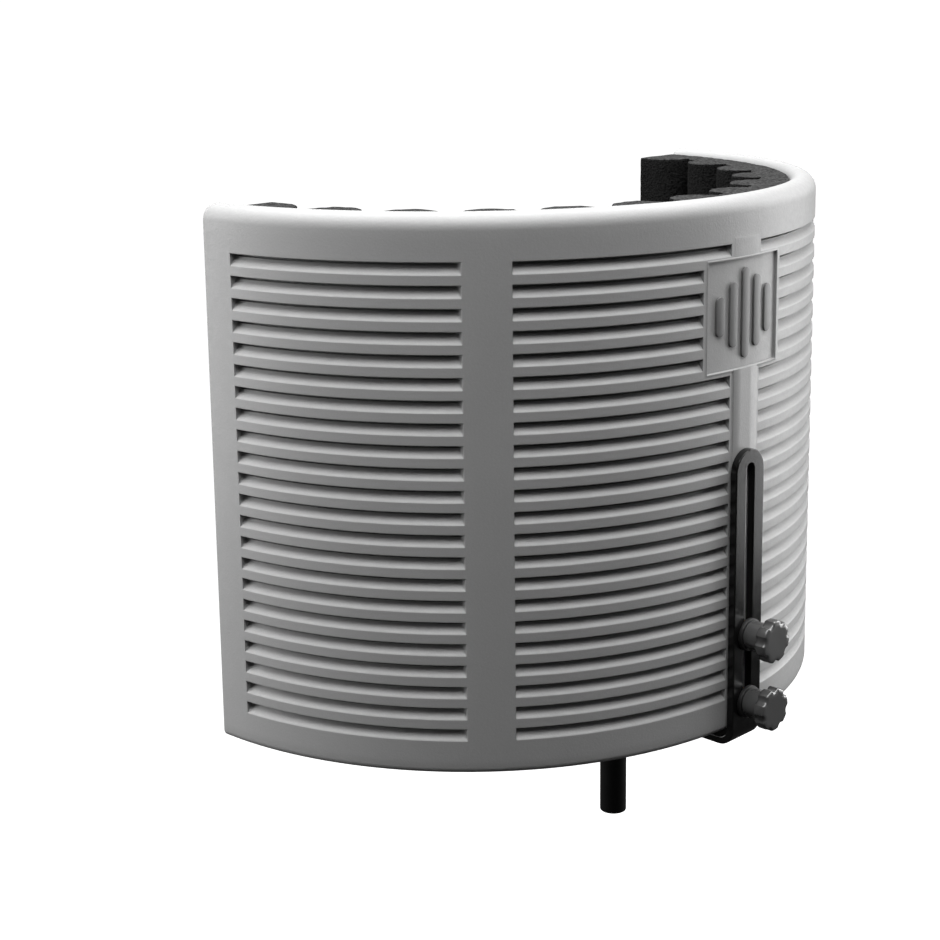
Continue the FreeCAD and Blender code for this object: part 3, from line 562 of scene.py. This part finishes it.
def foam_outline():
    """(angle, radius) points along the foam's ribbed face, from end to end."""
    last_rib = FOAM_RIBS // 2
    outline = []
    steps = 14
    for index in range(-last_rib, last_rib + 1):
        for step in range(steps + 1):
            turn = math.radians(-90 + 180 * step / steps)
            across = FOAM_RIB_RADIUS * math.sin(turn)
            inward = FOAM_VALLEY_RADIUS - FOAM_RIB_RADIUS * math.cos(turn)
            angle = index * FOAM_RIB_PITCH + math.degrees(math.atan2(across, inward))
            radius = math.hypot(across, inward)
            beyond = abs(angle) > last_rib * FOAM_RIB_PITCH
            if abs(angle) < FOAM_HALF_ANGLE - 0.1:
                outline.append((angle, FOAM_TIP_RADIUS if beyond else radius))
        if index < last_rib:
            gap_start = index * FOAM_RIB_PITCH + math.degrees(math.asin(FOAM_RIB_RADIUS / FOAM_VALLEY_RADIUS))
            gap_end = (index + 1) * FOAM_RIB_PITCH - (gap_start - index * FOAM_RIB_PITCH)
            for step in range(1, 5):
                outline.append((gap_start + (gap_end - gap_start) * step / 5, FOAM_VALLEY_RADIUS))
    ends = [(side * FOAM_HALF_ANGLE, FOAM_TIP_RADIUS) for side in (-1, 1)]
    return [ends[0]] + outline + [ends[1]]


def roughen(piece, amount, size):
    """Moves a soft piece's points in and out a little, as cut foam's cells and wool's tufts leave them."""
    mesh = piece.data
    normals = [vertex.normal.copy() for vertex in mesh.vertices]
    for vertex, normal in zip(mesh.vertices, normals):
        vertex.co += normal * amount * noise.noise(vertex.co / size)


def make_foam():
    outline = foam_outline()
    low, high = foam_low.z, foam_high.z
    margin = 0.45 * MM
    soft = 1.2 * MM
    heights = [low + margin, low + margin + soft / 3, low + margin + soft]
    heights += list(np.linspace(heights[-1], high - margin - soft, 90))[1:]
    heights += [high - margin - soft / 3, high - margin]
    sink = [soft * 0.6, soft * 0.2] + [0.0] * (len(heights) - 4) + [soft * 0.2, soft * 0.6]
    layers = (0.0, 0.12, 0.3, 0.5, 0.7, 0.88, 1.0)
    back = FOAM_BACK_RADIUS - margin
    points, faces = [], []

    def sheet(rows):
        """Adds a grid of points, given as rows of equal length."""
        offset = len(points)
        for row in rows:
            points.extend(row)
        faces.extend(grid_faces(len(rows), len(rows[0]), offset))

    sheet([[place(radius + margin + inset, angle, z) for angle, radius in outline]
           for z, inset in zip(heights, sink)])
    sheet([[place(back, angle, z) for angle, radius in outline] for z in heights])
    for z, inset in ((heights[0], sink[0]), (heights[-1], sink[-1])):
        sheet([[place(radius + margin + inset + (back - radius - margin - inset) * layer, angle, z)
                for angle, radius in outline] for layer in layers])
    for angle, radius in (outline[0], outline[-1]):
        sheet([[place(radius + margin + inset + (back - radius - margin - inset) * layer, angle, z)
                for layer in layers] for z, inset in zip(heights, sink)])
    foam = new_piece("foam_profile", points, faces, "shield", "foam_liner", foam_black, sharp=55.0)
    # Faces that point up take the lighter foam, so the tops are painted lighter than the rib sides, as light
    # from above would make them
    foam.data.materials.append(foam_painted_lit_top)
    for face in foam.data.polygons:
        face.material_index = 1 if abs(face.normal.z) > 0.7 else 0
    roughen(foam, 0.4 * MM, 2.2 * MM)


make_foam()


# ---- layers behind the foam -------------------------------------------------------------------------------
def make_curved_block(inner, outer, low, high, start, end, inset):
    """Points and faces of a curved sheet or strip. Both of its faces lie an inset within the given radii."""
    rows = max(int((high - low) / (8 * MM)), 4)
    columns = max(int(math.radians(end - start) * outer / (8 * MM)), 3)
    points, faces = [], []
    for radius in (inner + inset, outer - inset):
        offset = len(points)
        for z in np.linspace(low, high, rows):
            points += [place(radius, angle, z) for angle in np.linspace(start, end, columns)]
        faces += grid_faces(rows, columns, offset)
    back = rows * columns
    border = list(range(columns))
    border += [row * columns + columns - 1 for row in range(1, rows)]
    border += [(rows - 1) * columns + column for column in range(columns - 2, -1, -1)]
    border += [row * columns for row in range(rows - 2, 0, -1)]
    for here, there in zip(border, border[1:] + border[:1]):
        faces.append((here, there, there + back, here + back))
    return points, faces


def join_blocks(blocks):
    """Points and faces of several blocks as one mesh."""
    points, faces = [], []
    for more_points, more_faces in blocks:
        faces += [tuple(index + len(points) for index in face) for face in more_faces]
        points += more_points
    return points, faces


WOOL_HALF_ANGLE = 87.6
WOOL_NOTCH_HALF_ANGLE = 4.2     # the notch leaves room for the plate, and its upper end is closed by a strip
WOOL_NOTCH_HEIGHT = 79.5 * MM
WOOL_FACE = CAVITY_RADIUS - 8.5 * MM
WOOL_BACK = CAVITY_RADIUS - 3.1 * MM
SPACER_ANGLES = (22.0, 43.25, 64.5, 84.6)
SPACER_HALF_WIDTH = 6.0 * MM


def make_wool():
    low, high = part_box("wool_absorber")
    strip_edge = WOOL_NOTCH_HALF_ANGLE - 0.1
    strips = (
        (-WOOL_HALF_ANGLE, -WOOL_NOTCH_HALF_ANGLE, low.z, high.z),
        (WOOL_NOTCH_HALF_ANGLE, WOOL_HALF_ANGLE, low.z, high.z),
        (-strip_edge, strip_edge, low.z + WOOL_NOTCH_HEIGHT, high.z),
    )
    points, faces = join_blocks([make_curved_block(WOOL_FACE, WOOL_BACK, bottom, top, start, end, 0.3 * MM)
                                 for start, end, bottom, top in strips])
    wool = new_piece("wool_sheet", points, faces, "shield", "wool_absorber", wool_grey, sharp=50.0)
    roughen(wool, 0.28 * MM, 9 * MM)


def make_spacers():
    low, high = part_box("gap_spacers")
    half = math.degrees(SPACER_HALF_WIDTH / WOOL_BACK)
    face, back = CAVITY_RADIUS - 3.0 * MM, CAVITY_RADIUS - 0.1 * MM
    middles = [side * angle for angle in SPACER_ANGLES for side in (-1, 1)]
    points, faces = join_blocks([make_curved_block(face, back, low.z, high.z, middle - half, middle + half,
                                                   0.15 * MM) for middle in middles])
    spacers = new_piece("spacer_strips", points, faces, "shield", "gap_spacers", spacer_black,
                        sharp=50.0)
    roughen(spacers, 0.12 * MM, 3 * MM)


make_wool()
make_spacers()


# ---- emblem -----------------------------------------------------------------------------------------------
def make_emblem():
    """Five upright round-ended bars with bevelled edges, bent to the badge recess."""
    low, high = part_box("emblem_bars")
    middle = (low.z + high.z) / 2
    width = 6.4 * MM
    pitch = 10.6 * MM
    heights = (22.0, 36.0, 50.0, 40.0, 27.0)
    floor = SHELL_RADIUS - BADGE_DEPTH
    rise = BADGE_DEPTH
    bevel = 0.3 * MM
    profile = [(0.0, 0.0), (0.0, rise - bevel)]
    profile += [(bevel * (1 - math.cos(turn)), rise - bevel + bevel * math.sin(turn))
                for turn in (math.radians(30), math.radians(60), math.radians(90))]
    points, faces = [], []
    steps = 14
    for index, tall in enumerate(heights):
        across = (index - len(heights) // 2) * pitch
        straight = tall * MM / 2 - width / 2
        offset = len(points)
        outline = []
        for end in (1, -1):
            for step in range(steps + 1):
                turn = math.pi * step / steps + (0 if end > 0 else math.pi)
                outline.append((math.cos(turn), math.sin(turn), end * straight))
        for inset, out in profile:
            for cosine, sine, shift in outline:
                reach = width / 2 - inset
                x = across + reach * cosine
                z = middle + shift + reach * sine
                radius = floor + out
                points.append((x, AXIS_Y - math.sqrt(radius * radius - x * x), z))
        ring = len(outline)
        faces += grid_faces(len(profile), ring, offset, closed=True)
        faces.append(tuple(offset + step for step in range(ring)))
        top = offset + (len(profile) - 1) * ring
        faces.append(tuple(top + step for step in range(ring)))
    new_piece("level_bars", points, faces, "shield", "emblem_bars", emblem_grey, sharp=28.0)


make_emblem()


# ---- bracket ----------------------------------------------------------------------------------------------
def stadium(length_start, length_end, half_width):
    """Outline points of a round-ended strip or slot along X, between the tips of its two ends."""
    outline = []
    steps = 24
    for centre, first in ((length_end - half_width, -90), (length_start + half_width, 90)):
        for step in range(steps + 1):
            turn = math.radians(first + 180 * step / steps)
            outline.append((centre + half_width * math.cos(turn), half_width * math.sin(turn)))
    return outline


def flat_plate(outlines, thickness, bevel):
    """A flat plate with round-edged outline and holes, as a mesh, from closed outlines."""
    curve = bpy.data.curves.new("plate_outline", "CURVE")
    curve.dimensions = "2D"
    curve.fill_mode = "BOTH"
    curve.extrude = thickness / 2 - bevel
    curve.bevel_depth = bevel
    curve.bevel_resolution = 2
    curve.offset = -bevel
    for outline in outlines:
        spline = curve.splines.new("POLY")
        spline.points.add(len(outline) - 1)
        for point, (x, y) in zip(spline.points, outline):
            point.co = (x, y, 0.0, 1.0)
        spline.use_cyclic_u = True
    holder = bpy.data.objects.new("plate_outline", curve)
    bpy.context.collection.objects.link(holder)
    mesh = bpy.data.meshes.new_from_object(holder)
    bpy.data.objects.remove(holder)
    bpy.data.curves.remove(curve)
    return mesh


STRIP_THICKNESS = 4.5 * MM
STRIP_INNER_BEND = 5.5 * MM
STRIP_EDGE = 0.6 * MM
UPRIGHT_SLOT = (12.0 * MM, 155.0 * MM)      # heights of its ends above the shell's lower rim
UPRIGHT_SLOT_HALF_WIDTH = 3.5 * MM
ARM_SLOT_REACH = 38.0 * MM                  # from the post's axis to each end
ARM_SLOT_HALF_WIDTH = 6.1 * MM
STRIP_DIVISION = 20.0 * MM


def make_bracket():
    low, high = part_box("bracket_plate")
    half_width = high.x
    middle_radius = STRIP_INNER_BEND + STRIP_THICKNESS / 2
    outer_bend = STRIP_INNER_BEND + STRIP_THICKNESS
    bend_y, bend_z = low.y + outer_bend, low.z + outer_bend
    upright_run = high.z - bend_z
    bend_run = middle_radius * math.pi / 2
    arm_run = high.y - bend_y
    slot_bottom, slot_top = (high.z - (SHELL_BOTTOM + end) for end in UPRIGHT_SLOT)
    arm_slot = [upright_run + bend_run - bend_y + end for end in (-ARM_SLOT_REACH, ARM_SLOT_REACH)]
    strip_length = upright_run + bend_run + arm_run
    mesh = flat_plate([
        stadium(0.0, strip_length, half_width),
        stadium(slot_top, slot_bottom, UPRIGHT_SLOT_HALF_WIDTH),
        stadium(arm_slot[0], arm_slot[1], ARM_SLOT_HALF_WIDTH),
    ], STRIP_THICKNESS, STRIP_EDGE)

    cut = bmesh.new()
    cut.from_mesh(mesh)
    bmesh.ops.remove_doubles(cut, verts=cut.verts, dist=1e-6)
    steps = 10
    places = [upright_run + bend_run * step / steps for step in range(steps + 1)]
    arm_start = places[-1]
    places += list(np.arange(STRIP_DIVISION, upright_run, STRIP_DIVISION))
    places += list(np.arange(arm_start + STRIP_DIVISION, strip_length, STRIP_DIVISION))
    for run in places:
        geometry = list(cut.verts) + list(cut.edges) + list(cut.faces)
        bmesh.ops.bisect_plane(cut, geom=geometry, dist=1e-7, plane_co=(run, 0, 0), plane_no=(1, 0, 0))
    for vertex in cut.verts:
        run, across, out = vertex.co
        if run <= upright_run:
            y, z = bend_y - middle_radius - out, high.z - run
        elif run <= upright_run + bend_run:
            turn = (run - upright_run) / middle_radius
            y = bend_y - (middle_radius + out) * math.cos(turn)
            z = bend_z - (middle_radius + out) * math.sin(turn)
        else:
            y = bend_y + run - upright_run - bend_run
            z = bend_z - middle_radius - out
        vertex.co = (across, y, z)
    bmesh.ops.recalc_face_normals(cut, faces=cut.faces)
    cut.to_mesh(mesh)
    cut.free()
    finish_piece("bracket_strip", mesh, "bracket", "bracket_plate", black_steel, sharp=12.0)


make_bracket()


# ---- knobs ------------------------------------------------------------------------------------------------
KNOB_LOBES = 7
SCALLOP_RADIUS = 3.4 * MM
SCALLOP_DEPTH = 1.5 * MM
SCALLOP_BLEND = 0.5 * MM
SMALLEST_LOBED_RADIUS = 9.0 * MM


def lobed(radius, turn):
    """A lobed outline: broad tips and narrow round scallops between them. The hub stays round."""
    if radius < SMALLEST_LOBED_RADIUS:
        return radius
    sector = 2 * math.pi / KNOB_LOBES
    off_scallop = (turn % sector) - sector / 2
    centre = radius + SCALLOP_RADIUS - SCALLOP_DEPTH
    across = centre * math.sin(off_scallop)
    if abs(across) >= SCALLOP_RADIUS:
        return radius
    cut = centre * math.cos(off_scallop) - math.sqrt(SCALLOP_RADIUS ** 2 - across ** 2)
    mix = min(max(0.5 + (radius - cut) / (2 * SCALLOP_BLEND), 0.0), 1.0)
    return radius + (cut - radius) * mix - SCALLOP_BLEND * mix * (1.0 - mix)


def make_knob(place_name, clocking):
    """A grip and its washer. Clocking is the angle of one lobe's tip from +X, in degrees."""
    low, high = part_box("knob_grip_" + place_name)
    washer_low, washer_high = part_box("knob_washer_" + place_name)
    height = (washer_low.z + washer_high.z) / 2
    start, end = AXIS_Y - high.y, AXIS_Y - low.y
    head = high.x
    head_start = start + 10.3 * MM
    hub = 8.5 * MM
    stations = [
        (0.0, start),
        (hub - 0.8 * MM, start),
        (hub - 0.25 * MM, start + 0.2 * MM),
        (hub, start + 0.8 * MM),
        (hub, head_start - 0.7 * MM),
        (hub - 0.6 * MM, head_start - 0.55 * MM),
        (hub - 0.6 * MM, head_start),
        (head - 1.6 * MM, head_start),
        (head - 0.6 * MM, head_start + 0.3 * MM),
        (head - 0.1 * MM, head_start + 1.1 * MM),
        (head, head_start + 2.2 * MM),
        (head, end - 1.1 * MM),
        (head - 0.1 * MM, end - 0.75 * MM),
        (head - 0.8 * MM, end - 0.08 * MM),
        (head - 1.1 * MM, end),
        (head - 3.2 * MM, end),
        (0.0, end - 0.15 * MM),
    ]

    def clocked(radius, turn):
        return lobed(radius, turn - math.radians(clocking))

    points, faces = lathe(stations, clocked, from_the_back(height), steps=168)
    new_piece("knob_" + place_name, points, faces, "knob_" + place_name, "knob_grip_" + place_name,
              knob_grey, sharp=32.0)
    washer = bevelled(3.05 * MM, washer_high.x, AXIS_Y - washer_high.y, AXIS_Y - washer_low.y, 0.25 * MM)
    points, faces = lathe(washer, round_outline, from_the_back(height), steps=64)
    new_piece("washer_" + place_name, points, faces, "knob_" + place_name, "knob_washer_" + place_name,
              black_nylon)


make_knob("upper", 90.0)
make_knob("lower", 65.0)


# ---- threads ----------------------------------------------------------------------------------------------
STAND_PITCH = 1.5875 * MM       # 16 threads an inch
MIC_PITCH = 0.941 * MM          # 27 threads an inch
RING_STEPS = 40


def threaded(low, high, radius, depth, pitch, inward=False):
    """Rows of a screw thread between two heights, as (reach by turn) rows for a closed grid."""
    rows = []
    per_turn = 8
    count = max(int((high - low) / pitch * per_turn), 2)
    for index in range(count + 1):
        z = low + (high - low) * index / count
        fade = min(1.0, index / per_turn, (count - index) / per_turn)
        row = []
        for step in range(RING_STEPS):
            turn = 2 * math.pi * step / RING_STEPS
            phase = (z / pitch - step / RING_STEPS) % 1.0
            tooth = abs(2.0 * phase - 1.0) * fade
            reach = radius + depth * tooth if inward else radius - depth * tooth
            row.append((reach * math.cos(turn), reach * math.sin(turn), z))
        rows.append(row)
    return rows


def ring_row(radius, z, steps=RING_STEPS):
    return [(radius * math.cos(2 * math.pi * step / steps), radius * math.sin(2 * math.pi * step / steps), z)
            for step in range(steps)]


def stacked(rows):
    """Points and faces of a closed surface made of rings, one above another."""
    points = [point for row in rows for point in row]
    return points, grid_faces(len(rows), len(rows[0]), closed=True)


def make_post_stud():
    low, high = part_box("post_stud")
    radius = high.x
    rows = [ring_row(0.0, low.z), ring_row(radius - 0.6 * MM, low.z)]
    rows += threaded(low.z + 0.6 * MM, high.z - 0.6 * MM, radius, 0.7 * MM, STAND_PITCH)
    rows += [ring_row(radius - 0.9 * MM, high.z), ring_row(0.0, high.z)]
    points, faces = stacked(rows)
    new_piece("threaded_stud", points, faces, "stand", "post_stud", zinc_steel)


def make_mic_adapter():
    low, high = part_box("mic_thread_adapter")
    flange = high.x
    thread = 7.94 * MM
    bore = 4.8 * MM
    flange_top = low.z + 3.0 * MM
    rows = [ring_row(bore, high.z - 0.4 * MM), ring_row(bore, low.z + 0.3 * MM),
            ring_row(bore + 0.3 * MM, low.z), ring_row(flange - 0.4 * MM, low.z),
            ring_row(flange, low.z + 0.4 * MM),
            ring_row(flange, flange_top - 0.4 * MM), ring_row(flange - 0.4 * MM, flange_top),
            ring_row(thread - 0.5 * MM, flange_top)]
    rows += threaded(flange_top + 0.8 * MM, high.z - 0.8 * MM, thread, 0.5 * MM, MIC_PITCH)
    rows += [ring_row(thread - 0.6 * MM, high.z), ring_row(bore + 0.4 * MM, high.z),
             ring_row(bore, high.z - 0.4 * MM)]
    points, faces = stacked(rows)
    new_piece("mic_thread", points, faces, "stand", "mic_thread_adapter", brass)


def make_stand_insert():
    low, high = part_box("stand_thread_insert")
    outer = high.x
    bore = 4.8 * MM
    rows = [ring_row(outer, high.z), ring_row(outer, low.z + 0.3 * MM), ring_row(outer - 0.3 * MM, low.z),
            ring_row(bore + 0.6 * MM, low.z)]
    rows += threaded(low.z + 0.6 * MM, high.z - 0.4 * MM, bore, 0.6 * MM, STAND_PITCH, inward=True)
    rows += [ring_row(bore + 0.3 * MM, high.z), ring_row(outer, high.z)]
    points, faces = stacked(rows)
    new_piece("stand_thread", points, faces, "stand", "stand_thread_insert", brass)


make_post_stud()
make_mic_adapter()
make_stand_insert()


# ---- post and arm clamp -----------------------------------------------------------------------------------
def make_post():
    low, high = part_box("stand_post")
    collar = high.x
    stem = 8.0 * MM
    socket = 6.44 * MM
    stud = 4.8 * MM
    collar_low = high.z - 4.0 * MM
    stations = [
        (0.0, low.z + 20.0 * MM),
        (socket, low.z + 20.0 * MM),
        (socket, low.z + 0.4 * MM),
        (socket + 0.4 * MM, low.z),
        (stem - 0.5 * MM, low.z),
        (stem - 0.15 * MM, low.z + 0.15 * MM),
        (stem, low.z + 0.5 * MM),
        (stem, collar_low - 1.0 * MM),
        (stem + 0.3 * MM, collar_low - 0.3 * MM),
        (stem + 1.0 * MM, collar_low),
        (collar - 0.5 * MM, collar_low),
        (collar - 0.15 * MM, collar_low + 0.15 * MM),
        (collar, collar_low + 0.5 * MM),
        (collar, high.z - 0.5 * MM),
        (collar - 0.15 * MM, high.z - 0.15 * MM),
        (collar - 0.5 * MM, high.z),
        (stud + 0.3 * MM, high.z),
        (stud, high.z - 0.3 * MM),
        (stud, high.z - 18.0 * MM),
        (0.0, high.z - 18.0 * MM),
    ]
    points, faces = lathe(stations, round_outline, upright, steps=72)
    new_piece("post_tube", points, faces, "stand", "stand_post", post_black)


def make_ring(name, node, bore, bevel, body, material, below_top=0.0):
    """A bevelled ring on the post's axis, as wide as its CAD node. Its top may lie below the node's top."""
    low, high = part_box(node)
    stations = bevelled(bore, high.x, low.z, high.z - below_top, bevel)
    points, faces = lathe(stations, round_outline, upright, steps=72)
    new_piece(name, points, faces, body, node, material)


def make_guide():
    """The flanged guide: a round flange under the arm and an oblong neck in its slot."""
    low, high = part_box("arm_guide")
    flange = high.x
    flange_top = low.z + 2.6 * MM
    neck_half_width = 6.0 * MM
    straight = 2.0 * MM
    bore = 4.83 * MM
    steps = 72

    def oblong(radius, z):
        row = []
        for step in range(steps):
            turn = 2 * math.pi * step / steps
            shift = straight if math.sin(turn) >= 0 else -straight
            row.append((radius * math.cos(turn), radius * math.sin(turn) + shift, z))
        return row

    rows = [ring_row(bore, high.z - 0.3 * MM, steps), ring_row(bore, low.z + 0.3 * MM, steps),
            ring_row(bore + 0.3 * MM, low.z, steps), ring_row(flange - 0.3 * MM, low.z, steps),
            ring_row(flange, low.z + 0.3 * MM, steps), ring_row(flange, flange_top - 0.3 * MM, steps),
            ring_row(flange - 0.3 * MM, flange_top, steps), oblong(neck_half_width, flange_top),
            oblong(neck_half_width, high.z - 0.3 * MM), oblong(neck_half_width - 0.3 * MM, high.z),
            ring_row(bore + 0.3 * MM, high.z, steps), ring_row(bore, high.z - 0.3 * MM, steps)]
    points, faces = stacked(rows)
    new_piece("slot_guide", points, faces, "carriage", "arm_guide", black_nylon)


def make_lock_nut():
    low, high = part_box("lock_nut_grip")
    outer = 17.0 * MM
    bush = 8.04 * MM
    flutes = 12
    flute_depth = 1.5 * MM
    smallest_fluted_radius = 14.0 * MM

    def fluted(radius, turn):
        if radius < smallest_fluted_radius:
            return radius
        return radius - flute_depth * max(0.0, math.cos(flutes * turn)) ** 1.5

    stations = [
        (bush, high.z - 1.0 * MM),
        (bush, low.z + 0.2 * MM),
        (bush + 0.2 * MM, low.z),
        (outer - 1.4 * MM, low.z),
        (outer - 0.4 * MM, low.z + 0.4 * MM),
        (outer, low.z + 1.4 * MM),
        (outer, high.z - 1.8 * MM),
        (outer - 0.5 * MM, high.z - 0.6 * MM),
        (outer - 1.8 * MM, high.z),
        (bush + 2.2 * MM, high.z),
        (bush + 1.8 * MM, high.z - 0.3 * MM),
        (bush + 1.6 * MM, high.z - 1.0 * MM),
        (bush, high.z - 1.0 * MM),
    ]
    points, faces = lathe(stations, fluted, upright, steps=144)
    new_piece("clamp_nut", points, faces, "lock_nut", "lock_nut_grip", black_plastic)


make_post()
make_ring("nylon_washer", "friction_washer", 4.82 * MM, 0.3 * MM, "stand", black_nylon)
make_ring("steel_washer", "clamp_washer", 4.84 * MM, 0.35 * MM, "carriage", zinc_steel)
make_guide()
make_lock_nut()
make_ring("nut_bush", "lock_nut_bush", 4.84 * MM, 0.3 * MM, "lock_nut", brass, below_top=0.6 * MM)


# ---- CAD parts that keep their own shape ------------------------------------------------------------------
KEPT_NODES = {
    "mounting_plate": zinc_steel,
    "plate_screws": zinc_steel,
    "threaded_insert_upper": brass,
    "threaded_insert_lower": brass,
    "knob_stud_upper": zinc_steel,
    "knob_stud_lower": zinc_steel,
}
for node, material in KEPT_NODES.items():
    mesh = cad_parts[node].data
    mesh.materials.clear()
    mesh.materials.append(material)


# ---- studio -----------------------------------------------------------------------------------------------
def add_area_light(name, location, target, width, height, power):
    light = bpy.data.lights.new(name, "AREA")
    light.shape = "RECTANGLE"
    light.size = width
    light.size_y = height
    light.energy = power
    lamp = bpy.data.objects.new(name, light)
    bpy.context.collection.objects.link(lamp)
    lamp.location = location
    aim = Vector(target) - Vector(location)
    lamp.rotation_mode = "QUATERNION"
    lamp.rotation_quaternion = aim.to_track_quat("-Z", "Y")


def make_floor():
    """A plain, pale floor that curves up into the backdrop. It is well below the shield, whose stand would
    hold it at head height."""
    level = -1.4
    flat, sweep, top = 5.0, 4.0, 9.0
    profile = [(0.0, level), (flat, level)]
    steps = 12
    for step in range(1, steps + 1):
        turn = math.radians(90 * step / steps)
        profile.append((flat + sweep * math.sin(turn), level + sweep * (1.0 - math.cos(turn))))
    profile.append((flat + sweep, top))
    points, faces = lathe(profile, round_outline, upright, steps=72)
    mesh = bpy.data.meshes.new("floor")
    mesh.from_pydata(points, [], faces)
    mesh.shade_smooth()
    floor = bpy.data.objects.new("floor", mesh)
    bpy.context.collection.objects.link(floor)
    finish = Finish("floor_paint", grey(0.9), 0.8)
    finish.shader.inputs["Emission Color"].default_value = (1.0, 1.0, 1.0, 1.0)
    finish.shader.inputs["Emission Strength"].default_value = 1.0
    floor.data.materials.append(finish.material)
    floor.visible_diffuse = False
    floor.visible_glossy = False
    floor.visible_shadow = False


def make_camera():
    pitch = math.radians(11.54)
    yaw = math.radians(45.35)
    roll = math.radians(-0.75)
    camera_data = bpy.data.cameras.new("camera")
    camera_data.sensor_width = 36.0
    camera_data.lens = 70.58
    camera_data.shift_y = -0.12
    camera = bpy.data.objects.new("camera", camera_data)
    bpy.context.collection.objects.link(camera)
    azimuth = math.radians(-45.42)
    distance = 1.136
    camera.location = (distance * math.sin(azimuth), AXIS_Y - distance * math.cos(azimuth), 0.4994)
    aim = Vector((math.sin(yaw) * math.cos(pitch), math.cos(yaw) * math.cos(pitch), -math.sin(pitch)))
    turn = aim.to_track_quat("-Z", "Y").to_matrix()
    camera.rotation_euler = (turn @ Matrix.Rotation(roll, 3, "Z")).to_euler()
    bpy.context.scene.camera = camera


def make_lights():
    middle = (0.0, 0.02, 0.23)
    add_area_light("top_softbox", (0.0, 0.02, 1.55), middle, 2.4, 2.4, 108.0)
    add_area_light("left_softbox", (-1.02, 1.05, 0.5), middle, 0.8, 1.4, 20.0)
    add_area_light("right_softbox", (1.27, -0.52, 0.4), middle, 0.8, 1.4, 20.0)
    world = bpy.data.worlds.new("studio")
    bpy.context.scene.world = world
    world.use_nodes = True
    background = world.node_tree.nodes["Background"]
    background.inputs["Color"].default_value = (1.0, 1.0, 1.0, 1.0)
    background.inputs["Strength"].default_value = 0.05


make_floor()
make_camera()
make_lights()
bpy.context.scene.view_settings.view_transform = "Standard"
